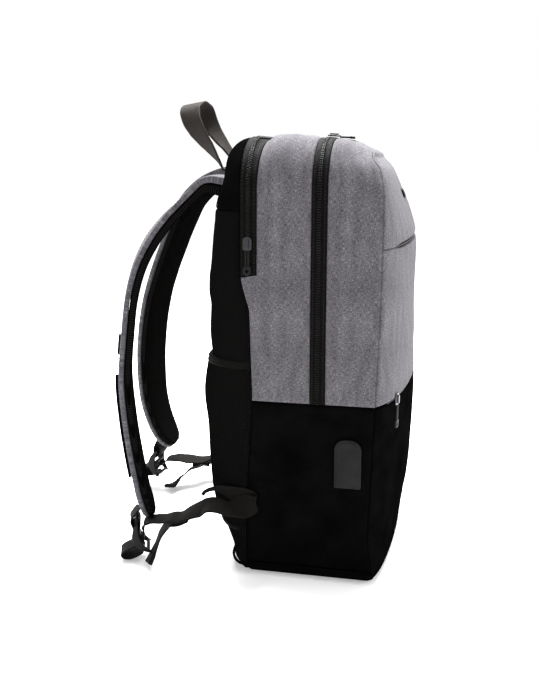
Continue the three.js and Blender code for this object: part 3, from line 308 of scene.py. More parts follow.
def unit(vectors):
    return vectors / np.maximum(np.linalg.norm(vectors, axis=-1, keepdims=True), 1e-9)


def ripple(points, scale, seed, stretch=(1, 1, 1)):
    """Smooth seeded unevenness between about -1 and 1, with features about scale millimetres wide."""
    rng = np.random.default_rng(seed)
    total = np.zeros(points.shape[:-1])
    for _ in range(14):
        direction = unit(rng.normal(size=3)) / np.array(stretch)
        pitch = scale * rng.uniform(0.7, 1.9)
        total += np.sin(points @ direction * 2 * math.pi / pitch + rng.uniform(0, 2 * math.pi))
    return total / 4


# Form of the body

def half_width_at(z):
    return body_width / 2 * lookup(body_widths, z / body_height)


def top_height_at(way):
    return body_height * lookup(top_line, way)


def front_seam_at(x, z):
    depth = front_seam_depth * lookup(front_seam_line, z / body_height)
    sag = smooth_step((z / body_height - slump_low) / slump_rise)
    return -depth + far_corner_slump * sag * (0.5 + x / body_width)


def back_seam_at(z):
    return back_seam_depth * lookup(back_seam_line, z / body_height)


def outline_half_at(top, z):
    over = np.clip((z - top + top_corner_radius) / top_corner_radius, 0, 1)
    under = np.clip((base_corner_radius - z) / base_corner_radius, 0, 1)
    top_cut = top_corner_radius * (1 - np.sqrt(1 - over ** 2))
    base_cut = base_corner_radius * (1 - np.sqrt(1 - under ** 2))
    return half_width_at(np.minimum(z, top - top_corner_radius)) - top_cut - base_cut


def form_at(is_front, x, z):
    """Share of the fullness that shows at a place on the front or back."""
    top = top_height_at(0.0 if is_front else 1.0)
    shoulder = front_shoulder if is_front else back_shoulder
    dome = front_dome_share if is_front else back_dome_share
    top_rounding = front_top_rounding if is_front else back_top_rounding
    half = outline_half_at(top, z)
    across = np.clip(np.abs(x) / np.maximum(half, 1), 0, 1)
    sides = (1 - dome) * quarter_round((half - np.abs(x)) / shoulder) + dome * (1 - across ** 2)
    return sides * quarter_round((top - z) / top_rounding) * quarter_round(z / base_rounding)


def front_surface(x, z):
    fullness = front_bulge * lookup(front_fullness, z / body_height)
    return front_seam_at(x, z) - seam_gap - fullness * form_at(True, x, z)


def back_surface(x, z):
    share = z / body_height
    fullness = back_bulge * lookup(back_fullness, share)
    along = smooth_step((share - 0.06) / 0.06) * smooth_step((0.83 - share) / 0.05)
    across = smooth_step((spine_half_width - np.abs(x)) / (spine_half_width / 7))
    return back_seam_at(z) + seam_gap + (fullness - spine_recess * along * across) * form_at(False, x, z)


def pocket_surface(x, z):
    share = (z - pocket_bottom) / (pocket_top - pocket_bottom)
    slack = pocket_slack * lookup(pocket_looseness, share)
    fullness = back_bulge * lookup(back_fullness, z / body_height) + pocket_wall + seam_gap + slack
    return back_seam_at(z) + seam_gap + fullness * form_at(False, x, z)


# Grids of points, rows by columns

def cap_rows(is_front, low, high, spacing=3.0):
    top = float(top_height_at(0.0 if is_front else 1.0))
    top_rounding = front_top_rounding if is_front else back_top_rounding
    turns = np.linspace(0, math.pi / 2, 14)
    near_top = top - top_rounding * (1 - np.cos(turns))
    near_base = base_rounding * (1 - np.cos(turns))
    middle = np.arange(base_rounding, top - top_rounding, spacing)
    beside = np.array([0.0, 0.5, 1.1, 2.0, 3.2])
    rows = np.concatenate([near_base, middle, near_top, low + beside, high - beside])
    rows = np.unique(np.round(rows[(rows >= low) & (rows <= high)], 3))
    keep = np.concatenate([[True], np.diff(rows) > 0.045])
    keep[-1] = True
    return rows[keep]


def cap_grid(surface, is_front, low, high, spacing=3.0):
    """Rows upwards and columns from -X to +X over the front or the back."""
    top = float(top_height_at(0.0 if is_front else 1.0))
    shoulder = front_shoulder if is_front else back_shoulder
    rows = cap_rows(is_front, low, min(high, top), spacing)
    turns = np.linspace(0, math.pi / 2, 16)
    half = outline_half_at(top, rows)[:, None]
    edge = half - shoulder * (1 - np.cos(turns))[None, :]
    inner = (half - shoulder) * np.linspace(1, 0, 24)[None, 1:]
    right = np.concatenate([edge, inner], axis=1)
    x = np.concatenate([-right, right[:, -2::-1]], axis=1)
    z = np.broadcast_to(rows[:, None], x.shape)
    return np.stack([x, surface(x, z), z], axis=-1)


def arch_grid(front_edge, back_edge, low, across_steps=10):
    """Rows across the gusset from the front and columns over the arch from -X to +X."""
    kinds = [("side", f) for f in np.linspace(0, 1, 81)[:-1]]
    kinds += [("corner", f) for f in np.linspace(0, 1, 25)[:-1]]
    kinds += [("top", f) for f in np.linspace(0, 1, 31)]
    share = np.array([f for _, f in kinds])
    is_side = np.array([kind == "side" for kind, _ in kinds])
    is_corner = np.array([kind == "corner" for kind, _ in kinds])
    share = np.concatenate([share, share[-2::-1]])
    is_side = np.concatenate([is_side, is_side[-2::-1]])
    is_corner = np.concatenate([is_corner, is_corner[-2::-1]])
    sign = np.where(np.arange(len(share)) < len(kinds), -1.0, 1.0)
    c = np.linspace(0, 1, across_steps + 1)
    bunched = 0.5 - 0.5 * np.cos(c * math.pi)
    c = mix(c, bunched, 0.6)[:, None]
    way = np.broadcast_to(c, (len(c), len(share))).copy()
    for _ in range(5):
        top = top_height_at(way)
        top_half = half_width_at(top - top_corner_radius)
        side_z = low + share * (top - top_corner_radius - low)
        angle = share * math.pi / 2
        z = np.where(is_side, side_z, top)
        z = np.where(is_corner, top - top_corner_radius * (1 - np.sin(angle)), z)
        x = np.where(is_side, half_width_at(z), (top_half - top_corner_radius) * (1 - share))
        x = np.where(is_corner, top_half - top_corner_radius * (1 - np.cos(angle)), x)
        x = x * sign
        front, back = front_seam_at(x, z), back_seam_at(z)
        y = mix(front_edge(x, z), back_edge(x, z), c)
        way = np.clip((y - front) / (back - front), 0, 1)
    return np.stack([x, y, z], axis=-1)


def side_grid(sign, low, high):
    """Rows upwards and columns from the front seam to the back seam of one side."""
    z = np.linspace(low, high, 60)[:, None]
    way = np.linspace(0, 1, 46)[None, :]
    way = mix(way, 0.5 - 0.5 * np.cos(way * math.pi), 0.5)
    x = sign * half_width_at(z) * np.ones_like(way)
    y = mix(front_seam_at(x, z), back_seam_at(z), way)
    return np.stack([x, y, z * np.ones_like(way)], axis=-1)


def base_grid():
    """Rows from front to back and columns under the base from -X to +X."""
    half = float(half_width_at(base_corner_radius))
    turns = np.linspace(math.pi / 2, 0, 10)
    corner_x = half - base_corner_radius * (1 - np.sin(turns))
    corner_z = base_corner_radius * (1 - np.cos(turns))
    x = np.concatenate([[half], corner_x, np.linspace(half - base_corner_radius, 0, 20)[1:]])
    z = np.concatenate([[base_panel_height - seam_gap], corner_z, np.zeros(19)])
    x = np.concatenate([-x, x[-2::-1]])
    z = np.concatenate([z, z[-2::-1]])
    way = np.linspace(0, 1, 30)[:, None]
    y = mix(front_seam_at(x, z), back_seam_at(z), way)
    return np.stack([x * np.ones_like(way), y, z * np.ones_like(way)], axis=-1)


def normals_of(points, centre=(0, 5, 225)):
    """Unit normals of a grid that point away from the body's middle."""
    along = np.gradient(points, axis=0)
    across = np.gradient(points, axis=1)
    normals = unit(np.cross(along, across))
    outwards = np.sum(normals * (points - np.array(centre)), axis=-1)
    return normals if outwards.sum() > 0 else -normals


def lengths_of(points, axis):
    """Distance run along an axis of a grid."""
    steps = np.linalg.norm(np.diff(points, axis=axis), axis=-1)
    start = np.zeros_like(np.take(steps, [0], axis=axis))
    return np.cumsum(np.concatenate([start, steps], axis=axis), axis=axis)


# Making pieces

def finish_piece(name, mesh, material, replaced):
    obj = bpy.data.objects.new(name, mesh)
    bpy.context.scene.collection.objects.link(obj)
    mesh.materials.append(materials[material])
    mesh.polygons.foreach_set("use_smooth", np.ones(len(mesh.polygons), bool))
    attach(obj, "root")
    if replaced:
        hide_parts(*replaced)
    return obj


def mesh_of(name, points, quads, uv=None, triangles=()):
    mesh = bpy.data.meshes.new(name)
    faces = [tuple(int(i) for i in quad) for quad in quads] + [tuple(t) for t in triangles]
    mesh.from_pydata((points.reshape(-1, 3) * MM).tolist(), [], faces)
    if uv is not None:
        layer = mesh.uv_layers.new(name="cloth")
        index = np.zeros(len(mesh.loops), np.int32)
        mesh.loops.foreach_get("vertex_index", index)
        layer.data.foreach_set("uv", (uv.reshape(-1, 2)[index] * MM).ravel())
    mesh.update()
    return mesh


def grid_quads(rows, columns, joined=False, flipped=False):
    r = np.arange(rows - 1)[:, None]
    c = np.arange(columns if joined else columns - 1)[None, :]
    nxt = (c + 1) % columns
    quads = np.stack([r * columns + c, r * columns + nxt, (r + 1) * columns + nxt,
                      (r + 1) * columns + c], axis=-1).reshape(-1, 4)
    return quads[:, ::-1] if flipped else quads


def sheet_piece(name, points, material, slot, tucks="udlr", tuck=1.5, wrinkle=0.6, seed=1, scale=70,
                extra=None, replaced=None, warp="rows", flange=3.0, pucker=0.25):
    """Cloth panel over a grid, whose edges roll in along its seams. u, d, l and r name the edges that do."""
    normals = normals_of(points)
    down, right = lengths_of(points, 0), lengths_of(points, 1)
    far = np.full(points.shape[:-1], 1e3)
    distance = {
        "d": down, "u": down[-1:] - down, "l": right, "r": right[:, -1:] - right,
    }
    nearest = far
    for edge in tucks:
        nearest = np.minimum(nearest, distance[edge])
    rolled = -tuck * (1 - quarter_round(nearest / 3.2))
    inside = smooth_step(nearest / 16)
    uneven = wrinkle * ripple(points, scale, seed) * inside
    beside_seam = smooth_step(nearest / 2.5) * smooth_step((22 - nearest) / 20)
    gathered = pucker * ripple(points, 11, seed + 50) * beside_seam
    shift = rolled + uneven + gathered
    if extra is not None:
        shift = shift + extra(points) * inside
    moved = points + normals * shift[..., None]
    uv = np.stack([right, down] if warp == "rows" else [down, right], axis=-1)
    for edge in tucks:
        axis, at = {"d": (0, 0), "u": (0, -1), "l": (1, 0), "r": (1, -1)}[edge]
        line = np.take(moved, [at], axis=axis) - np.take(normals, [at], axis=axis) * flange
        inner_normal = np.take(normals, [at], axis=axis)
        line_uv = np.take(uv, [at], axis=axis)
        order = (lambda a, b: [b, a]) if at == 0 else (lambda a, b: [a, b])
        moved = np.concatenate(order(moved, line), axis=axis)
        uv = np.concatenate(order(uv, line_uv), axis=axis)
        normals = np.concatenate(order(normals, inner_normal), axis=axis)
    rows, columns = moved.shape[:2]
    facing = np.cross(np.gradient(points, axis=1), np.gradient(points, axis=0))
    flipped = np.sum(facing * normals_of(points)) < 0
    quads = grid_quads(rows, columns, flipped=flipped)
    mesh = mesh_of(name, moved, quads, uv)
    return finish_piece(name, mesh, material, replaced if replaced is not None else [name])


def catmull(points, steps_between):
    """Smooth curve through points, and the place of each of its points between them."""
    points = np.asarray(points, float)
    padded = np.concatenate([[2 * points[0] - points[1]], points, [2 * points[-1] - points[-2]]])
    out, places = [], []
    for i in range(len(points) - 1):
        p0, p1, p2, p3 = padded[i:i + 4]
        d0, d1, d2 = [max(np.linalg.norm(b - a) ** 0.5, 1e-4) for a, b in ((p0, p1), (p1, p2), (p2, p3))]
        t1 = ((p1 - p0) / d0 - (p2 - p0) / (d0 + d1) + (p2 - p1) / d1) * d1
        t2 = ((p2 - p1) / d1 - (p3 - p1) / (d1 + d2) + (p3 - p2) / d2) * d1
        count = steps_between + (1 if i == len(points) - 2 else 0)
        for s in range(count):
            t = s / steps_between
            square = -3 * p1 + 3 * p2 - 2 * t1 - t2
            cube = 2 * p1 - 2 * p2 + t1 + t2
            out.append(p1 + t1 * t + square * t ** 2 + cube * t ** 3)
            places.append(i + t)
    return np.array(out), np.array(places)


def frames_along(stations, steps_between=12, first=0.0, last=None):
    """Centre, across, through, width and thickness along a band, from one place to another."""
    at = [s["at"] for s in stations]
    centres, places = catmull(at, steps_between)
    index = np.arange(len(stations))
    across = np.array([s["across"] for s in stations], float)
    across = np.stack([np.interp(places, index, across[:, k]) for k in range(3)], axis=-1)
    tangents = unit(np.gradient(centres, axis=0))
    across = unit(across - tangents * np.sum(across * tangents, axis=-1, keepdims=True))
    through = np.cross(across, tangents)
    width = np.interp(places, index, [s["width"] for s in stations])
    thickness = np.interp(places, index, [s["thickness"] for s in stations])
    last = len(stations) - 1 if last is None else last
    keep = (places >= first - 1e-6) & (places <= last + 1e-6)
    return centres[keep], across[keep], through[keep], width[keep], thickness[keep]


def rounded_section(width, low, high, radius, crown=0.0, corner_steps=4, flat_steps=10):
    """Points round a rounded rectangle, from -width/2 to width/2 and from low to high."""
    half = width / 2
    radius = min(radius, (high - low) / 2 - 1e-3, half - 1e-3)
    points = []
    corners = [
        (half - radius, high - radius, 0), (-half + radius, high - radius, 1),
        (-half + radius, low + radius, 2), (half - radius, low + radius, 3),
    ]
    for cx, cy, quarter in corners:
        for k in range(corner_steps + 1):
            angle = (quarter + k / corner_steps) * math.pi / 2
            points.append((cx + radius * math.cos(angle), cy + radius * math.sin(angle)))
        if quarter in (0, 2):
            direction = -1 if quarter == 0 else 1
            for k in range(1, flat_steps):
                x = direction * (-(half - radius) + 2 * (half - radius) * k / flat_steps)
                lift = crown * (1 - (x / half) ** 2) if quarter == 0 else 0.0
                points.append((x, (high + lift) if quarter == 0 else low))
    return np.array(points)


def band_mesh(name, frames, section_of, uneven=0.0, seed=1):
    """Closed band with a section along its frames."""
    centres, across, through, width, thickness = frames
    sections = np.array([section_of(w, t) for w, t in zip(width, thickness)])
    points = (centres[:, None] + across[:, None] * sections[..., :1] + through[:, None] * sections[..., 1:])
    if uneven:
        out = unit(points - points.mean(axis=1, keepdims=True))
        points = points + out * (uneven * ripple(points, 26, seed))[..., None]
    run = lengths_of(centres[:, None], 0)
    around = sections[..., 0]
    uv = np.stack([around, np.broadcast_to(run, around.shape)], axis=-1)
    rows, columns = points.shape[:2]
    quads = grid_quads(rows, columns, joined=True)
    first = tuple(range(columns))
    last = tuple(range((rows - 1) * columns, rows * columns))
    return mesh_of(name, points, quads, uv, [first[::-1], last])


def fix_normals(mesh):
    made = bmesh.new()
    made.from_mesh(mesh)
    bmesh.ops.recalc_face_normals(made, faces=made.faces)
    made.to_mesh(mesh)
    made.free()


def band_piece(name, frames, section_of, material, replaced=None, uneven=0.0, seed=1):
    mesh = band_mesh(name, frames, section_of, uneven, seed)
    fix_normals(mesh)
    return finish_piece(name, mesh, material, [name] if replaced is None else replaced)


# Materials

rib_pitch = 1.3
pick_pitch = 1.0
grey_thread_pitch = 0.8
black_thread_pitch = 0.6
mesh_rib_pitch = 2.6
mesh_hole_pitch = 1.7


class Tree:
    """Short way to build a material's nodes."""

    def __init__(self, name):
        self.material = bpy.data.materials.new(name)
        self.material.use_nodes = True
        self.tree = self.material.node_tree
        self.shader = self.tree.nodes["Principled BSDF"]

    def node(self, kind, settings=None, **inputs):
        made = self.tree.nodes.new("ShaderNode" + kind)
        for key, value in (settings or {}).items():
            setattr(made, key, value)
        for key, value in inputs.items():
            self.put(made, key, value)
        return made

    def put(self, node, key, value):
        found = [s for s in node.inputs if s.name == key.replace("_", " ") and s.enabled]
        socket = node.inputs[int(key[1:])] if key[1:].isdigit() else found[0]
        if isinstance(value, bpy.types.NodeSocket):
            self.tree.links.new(value, socket)
        else:
            socket.default_value = value

    def math(self, operation, first, second=0.0, third=0.0):
        return self.node("Math", {"operation": operation}, i0=first, i1=second, i2=third).outputs[0]

    def ramp(self, value, stops):
        made = self.node("ValToRGB", i0=value)
        elements = made.color_ramp.elements
        for element, (place, color) in zip(elements, (stops[0], stops[-1])):
            element.position = place
            element.color = (*color, 1)
        for place, color in stops[1:-1]:
            elements.new(place).color = (*color, 1)
        return made.outputs[0]

    def noise(self, vector, scale, detail=2.0, rough=0.5):
        made = self.node("TexNoise", Vector=vector, Scale=scale, Detail=detail, Roughness=rough)
        return made.outputs[0]

    def cloth_places(self):
        """Places on the cloth in millimetres: across and along the warp."""
        uv = self.node("UVMap", {"uv_map": "cloth"}).outputs[0]
        parts = self.node("SeparateXYZ", Vector=uv)
        across = self.math("MULTIPLY", parts.outputs[0], 1000.0)
        along = self.math("MULTIPLY", parts.outputs[1], 1000.0)
        return across, along

    def joined(self, x, y, z=0.0):
        return self.node("CombineXYZ", X=x, Y=y, Z=z).outputs[0]

    def times(self, value, factor):
        return self.math("MULTIPLY", value, factor)

    def plus(self, first, second):
        return self.math("ADD", first, second)

    def cloth_noise(self, places, density, third=0.0, detail=2.0, rough=0.5):
        """Noise on the cloth, with one density across it and one along it."""
        across, along = (self.times(place, dense) for place, dense in zip(places, density))
        return self.noise(self.joined(across, along, third), 1.0, detail, rough)

    def finished(self, color, height, strength, distance, **values):
        """The material, with its colour, its bump and the shader's other values."""
        bump = self.node("Bump", Strength=strength, Distance=distance, Height=height)
        for name, value in {"Base_Color": color, "Normal": bump.outputs[0], **values}.items():
            self.put(self.shader, name, value)
        return self.material


def plain_weave(tree, places, pitch):
    """Height of a plain weave, from 0 to 1."""
    u, v = (tree.times(place, math.pi / pitch) for place in places)
    warp, weft = (tree.math("ABSOLUTE", tree.math("SINE", turn)) for turn in (u, v))
    half_u, half_v = (tree.math("SINE", tree.times(turn, 0.5)) for turn in (u, v))
    over = tree.math("GREATER_THAN", tree.times(half_u, half_v), 0.0)
    return tree.node("Mix", i0=over, i2=warp, i3=weft).outputs[0]


def heather_cloth():
    tree = Tree("grey heather cloth")
    places = tree.cloth_places()
    fine = tree.cloth_noise(places, (1.5, 0.3), 0.0, 3.0, 0.7)
    cross = tree.cloth_noise(places, (0.3, 1.6), 7.0, 2.0, 0.6)
    slub = tree.cloth_noise(places, (0.10, 0.03), 3.0)
    melange = tree.plus(tree.times(fine, 0.52), tree.times(cross, 0.48))
    melange = tree.plus(melange, tree.times(tree.math("SUBTRACT", slub, 0.5), 0.16))
    color = tree.ramp(melange, [
        (0.36, (0.020, 0.018, 0.022)), (0.46, (0.056, 0.053, 0.060)),
        (0.54, (0.088, 0.083, 0.092)), (0.66, (0.185, 0.177, 0.19)),
    ])
    weave = plain_weave(tree, places, grey_thread_pitch)
    height = tree.plus(tree.times(weave, 0.6), tree.times(melange, 0.9))
    return tree.finished(color, height, 0.55, 0.0004, Roughness=0.9, Specular_IOR_Level=0.08,
                         Sheen_Weight=0.05, Sheen_Roughness=0.5)


def black_cloth():
    tree = Tree("black cloth")
    places = tree.cloth_places()
    cloud = tree.cloth_noise(places, (0.03, 0.03), 0.0, 3.0)
    color = tree.ramp(cloud, [(0.3, (0.0011, 0.0011, 0.0011)), (0.7, (0.0026, 0.0025, 0.0025))])
    rough = tree.plus(tree.times(cloud, 0.2), 0.58)
    weave = plain_weave(tree, places, black_thread_pitch)
    return tree.finished(color, weave, 0.4, 0.00022, Roughness=rough, Specular_IOR_Level=0.0)


def spacer_mesh():
    tree = Tree("spacer mesh")
    across, along = tree.cloth_places()
    slant = tree.plus(along, tree.times(across, 0.7))
    rib = tree.math("SINE", tree.times(slant, 2 * math.pi / mesh_rib_pitch))
    column = tree.math("SINE", tree.times(across, 2 * math.pi / mesh_hole_pitch))
    holes = tree.times(tree.math("MAXIMUM", rib, 0.0), tree.math("MAXIMUM", column, 0.0))
    height = tree.plus(tree.times(rib, 0.45), tree.times(holes, -0.9))
    # The colour follows the relief: darker in the holes and between the ribs, which is painted shade.
    shade = tree.plus(tree.times(height, 0.3), 0.55)
    color = tree.ramp(shade, [
        (0.35, (0.0004, 0.0004, 0.0004)), (0.58, (0.0018, 0.0017, 0.0017)),
        (0.72, (0.017, 0.0165, 0.016)),
    ])
    return tree.finished(color, height, 0.7, 0.0006, Roughness=0.8, Specular_IOR_Level=0.0)


def ribbed_webbing(name, dark, light):
    tree = Tree(name)
    across, along = tree.cloth_places()
    ribs = tree.math("SINE", tree.times(across, 2 * math.pi / rib_pitch))
    wave = tree.plus(tree.times(along, 2 * math.pi / pick_pitch), tree.times(ribs, 1.2))
    picks = tree.math("SINE", wave)
    height = tree.plus(tree.times(ribs, 0.5), tree.times(picks, 0.4))
    # The colour follows the relief: painted shade in the grooves between ribs and picks, and painted
    # highlight on their tops.
    shade = tree.plus(tree.times(height, 0.4), 0.5)
    color = tree.ramp(shade, [(0.1, dark), (0.9, light)])
    return tree.finished(color, height, 0.6, 0.0003, Roughness=0.62, Specular_IOR_Level=0.02)


def moulded(name, dark, light, roughness, grain, metallic=0.0):
    tree = Tree(name)
    place = tree.node("TexCoord").outputs["Object"]
    cloud = tree.noise(place, 60.0, 3.0)
    fine = tree.noise(place, grain, 2.0)
    color = tree.ramp(cloud, [(0.3, dark), (0.7, light)])
    rough = tree.plus(tree.times(fine, 0.2), roughness - 0.1)
    return tree.finished(color, fine, 0.15, 0.0001, Roughness=rough, Metallic=metallic,
                         Specular_IOR_Level=0.08)


materials = {
    "grey": heather_cloth(),
    "black": black_cloth(),
    "mesh": spacer_mesh(),
    "webbing": ribbed_webbing("strap webbing", (0.0022, 0.002, 0.0019), (0.0105, 0.0098, 0.0092)),
    # The handle webbing's brown-black tone is its own. It is made lighter than the strap webbing to paint in
    # the top light and sheen on it.
    "handle": ribbed_webbing("handle webbing", (0.008, 0.0068, 0.0062), (0.034, 0.0295, 0.0275)),
    "tape": ribbed_webbing("zip tape", (0.0008, 0.0008, 0.0007), (0.0052, 0.0052, 0.0046)),
    "zip": moulded("zip plastic", (0.003, 0.003, 0.003), (0.008, 0.008, 0.008), 0.36, 900.0),
    "plastic": moulded("moulded plastic", (0.004, 0.004, 0.004), (0.011, 0.011, 0.011), 0.4, 1500.0),
    "rubber": moulded("soft rubber", (0.004, 0.004, 0.004), (0.009, 0.009, 0.009), 0.55, 1200.0),
    "thread": moulded("grey thread", (0.05, 0.048, 0.053), (0.11, 0.106, 0.115), 0.8, 900.0),
    "black_thread": moulded("black thread", (0.004, 0.004, 0.004), (0.012, 0.012, 0.012), 0.7, 900.0),
    "metal": moulded("dark metal", (0.03, 0.03, 0.032), (0.05, 0.05, 0.052), 0.32, 1400.0, 1.0),
}


# Body panels

def slit_half_at(x):
    """Half of the pocket slit's opening, which closes towards both ends."""
    share = (slit_half_length - np.abs(x)) / slit_taper
    return seam_gap / 2 + (slit_opening - seam_gap) / 2 * smooth_step(share)


def opened_grid(points, upwards):
    """Front grid whose edge at the slit draws back from it."""
    x, z = points[..., 0], points[..., 2]
    near = smooth_step(1 - np.abs(z - slit_height) / slit_reach)
    shift = slit_half_at(x) * near * (1 if upwards else -1)
    return np.stack([x, front_surface(x, z + shift), z + shift], axis=-1)


def make_front():
    seam = lower_slit_opening / 2
    above = cap_grid(front_surface, True, slit_height, above_all)
    below = cap_grid(front_surface, True, black_height + seam, slit_height)
    lower = cap_grid(front_surface, True, 0.0, black_height - seam)
    sheet_piece("front_top_panel", opened_grid(above, True), "grey", "grey_cloth", seed=3)
    sheet_piece("front_pocket_panel", opened_grid(below, False), "grey", "grey_cloth", seed=5)
    sheet_piece("front_lower_panel", lower, "black", "black_cloth", seed=7, wrinkle=1.0)


def at_depth(depth):
    """Edge of a strip that stays at one depth."""
    return lambda x, z: depth + 0 * x


def make_gusset():
    half_gap = seam_gap / 2
    front_edge = main_zip_offset - zip_tape_width / 2
    back_edge = main_zip_offset + zip_tape_width / 2
    laptop_edge = back_seam_depth - laptop_zip_width
    low = black_height + seam_gap
    zip_low = laptop_zip_low + seam_gap
    flat = {"wrinkle": 0.15, "tuck": 0.5}

    def back_edge_at(x, z):
        return back_seam_at(z)

    def rear_edge(x, z):
        over = smooth_step(z - laptop_zip_low + 0.5)
        return mix(back_seam_at(z), np.minimum(laptop_edge - half_gap, back_seam_at(z)), over)

    # Name, edge in front, edge behind, foot, steps across, material, slot, seed, other settings
    strips = (
        ("front_gusset", front_seam_at, at_depth(front_edge - half_gap), low, 22,
         "grey", "grey_cloth", 11, {}),
        ("main_zip_tape", at_depth(front_edge + half_gap), at_depth(back_edge - half_gap), low, 12,
         "tape", "black_cloth", 12, flat),
        ("rear_gusset", at_depth(back_edge + half_gap), rear_edge, low, 30,
         "grey", "grey_cloth", 13, {}),
        ("laptop_zip_tape", at_depth(laptop_edge + half_gap), back_edge_at, zip_low, 12,
         "tape", "black_cloth", 14, flat),
    )
    for name, before, behind, foot, steps, material, slot, seed, others in strips:
        sheet_piece(name, arch_grid(before, behind, foot, steps), material, slot, seed=seed,
                    warp="columns", **others)
    for name, sign in (("left", -1), ("right", 1)):
        grid = side_grid(sign, base_panel_height + seam_gap, black_height - seam_gap)
        sheet_piece(f"lower_{name}_side", grid, "black", "black_cloth", seed=15 + sign, wrinkle=1.0)
    sheet_piece("base_panel", base_grid(), "black", "black_cloth", seed=17, wrinkle=0.0, pucker=0.0)


def make_back():
    yoke = cap_grid(back_surface, False, yoke_low, above_all)
    sheet_piece("back_yoke", yoke, "black", "black_cloth", seed=21, wrinkle=0.8)
    below_yoke = cap_grid(back_surface, False, 0.0, yoke_low - seam_gap)
    panel = sheet_piece("back_panel", below_yoke, "mesh", "mesh", seed=22, wrinkle=1.0)
    pocket_foot = pocket_bottom + pocket_hem_height / 2
    outer = cap_grid(pocket_surface, False, pocket_foot, pocket_top - pocket_hem_height)
    sheet_piece("back_pocket", outer, "mesh", "mesh", seed=23, wrinkle=0.8, tucks="lrd", flange=2.0)


make_front()
make_gusset()
make_back()


# Straps, webbing and handle

def back_point(x, z):
    return float(back_surface(np.array(float(x)), np.array(float(z))))


def turned_across(side, degrees):
    angle = math.radians(degrees)
    return np.array([math.cos(angle), -side * math.sin(angle), 0.0])


def strap_stations(strap):
    side = strap["side"]
    root_x = side * strap_root_spacing / 2
    root_y = back_point(root_x, strap_root_height)
    return [
        {
            "at": np.array([
                root_x + side * strap["spread"] * aside,
                root_y + strap["reach"] * out,
                strap_root_height - strap["drop"] * down,
            ]),
            "across": turned_across(side, strap["turn"] * turn),
            "width": strap_width * width,
            "thickness": thickness,
        }
        for out, aside, down, turn, width, thickness in strap["route"]
    ]


strap_middle = (pad_thickness - cover_thickness) / 2
cover_top = strap_middle + cover_thickness
pad_bottom = strap_middle - pad_thickness


def make_strap(name, strap):
    frames = frames_along(strap_stations(strap), 14)

    def cover_section(width, thick):
        low = thick * strap_middle + seam_gap / 2
        return rounded_section(width, low, thick * cover_top - 0.4, 2.0, 0.6)

    def pad_section(width, thick):
        high = thick * strap_middle - seam_gap / 2
        return rounded_section(width, thick * pad_bottom, high, 3.0, 0.0)

    cover = band_piece(name + "_strap_cover", frames, cover_section, "grey",
                       uneven=0.15, seed=31)
    pad = band_piece(name + "_strap_pad", frames, pad_section, "mesh", uneven=0.25, seed=32)


def lock_frame(strap):
    """Centre of a ladder lock, and its directions downwards and outwards."""
    at = strap_stations(strap)[-1]["at"]
    lock = strap["lock"]
    angle = math.radians(lock["lean"])
    up = np.array([0.0, 0.0, 1.0])
    level = np.cross(up, turned_across(strap["side"], lock["turn"]))
    centre = at + np.array([strap["side"] * lock["aside"], lock["out"], -lock["down"]])
    downwards = -level * math.sin(angle) - up * math.cos(angle)
    outwards = level * math.cos(angle) - up * math.sin(angle)
    return centre, downwards, outwards


def lock_bow_at(down):
    """How far the lock's plate bows outwards at a share of its length below its middle."""
    return lock_bow * np.maximum(0, 1 - (2 * down) ** 2)


def lock_place(frame_of_lock, down, off):
    """Place at a share of the lock's length below its middle and a distance outwards from its plate."""
    centre, downwards, outwards = frame_of_lock
    return centre + downwards * lock_length * down + outwards * (off + lock_bow_at(down))


def webbing_station(at, across, width=1.0, thickness=webbing_thickness):
    """One place on a webbing; width is a share of the webbing's width."""
    return {"at": at, "across": across, "width": webbing_width * width, "thickness": thickness}


def webbing_across(side, degrees, turn):
    angle = math.radians(degrees)
    return np.array([0.0, 0.0, math.cos(angle)]) - side * math.sin(angle) * turned_across(side, turn)


def wing_stations(side):
    skin = float(half_width_at(wing_height)) + seam_gap
    seam = float(back_seam_at(wing_height))
    stations = []
    for along, out, up, turn, width in wing_route:
        at = [side * (skin + wing_bulge * out), seam + wing_length * along, wing_height * (1 + up)]
        stations.append(webbing_station(np.array(at), webbing_across(side, turn, 0), width))
    return stations


def webbing_start(side):
    """First two places of the webbing, which goes on past the wing's end in the wing's direction."""
    before, end = wing_stations(side)[-2:]
    onwards = unit(end["at"] - before["at"])
    gaps = (2 * seam_gap, webbing_thickness)
    return [webbing_station(end["at"] + onwards * gap, end["across"]) for gap in gaps]


def webbing_stations(strap):
    side = strap["side"]
    lock = lock_frame(strap)
    lock_turn = strap["lock"]["turn"]
    stations = webbing_start(side)
    start = stations[0]["at"]
    slot = lock_place(lock, slot_share, 0)
    for way, rise, bow, turn in strap["webbing"]:
        at = mix(start, slot, way) + np.array([side * strap["bow"] * bow, 0, strap["arch"] * rise])
        stations.append(webbing_station(at, webbing_across(side, turn, lock_turn * way)))
    for off, down in loop_route:
        at = lock_place(lock, down, strap["loop_length"] * off)
        at = at + np.array([side * strap["loop_aside"] * off, 0, 0])
        stations.append(webbing_station(at, -side * turned_across(side, lock_turn)))
    return stations


def tail_stations(strap):
    """Loose end, under the webbing from the wing on, then hanging free to its folded end."""
    side = strap["side"]
    webbing = webbing_stations(strap)[1:]
    stations = []
    for i in range(1, strap["tail_leaves"]):
        tangent = webbing[i + 1]["at"] - webbing[i - 1]["at"]
        through = unit(np.cross(webbing[i]["across"], tangent))
        drop = side * (webbing_thickness + webbing_ply_gap) * (1 + (i - 1) * tail_sag)
        stations.append({**webbing[i], "at": webbing[i]["at"] + through * drop})
    leave = stations[-1]["at"]
    folded_row = len(strap["tail"]) - tail_folded_rows
    for index, (out, aside, down, turn) in enumerate(strap["tail"]):
        at = leave + strap["tail_length"] * np.array([side * aside, out, -down])
        thickness = webbing_thickness if index < folded_row else folded_end_thickness
        across = webbing_across(side, turn, strap["lock"]["turn"])
        stations.append(webbing_station(at, across, 1.0, thickness))
    return stations


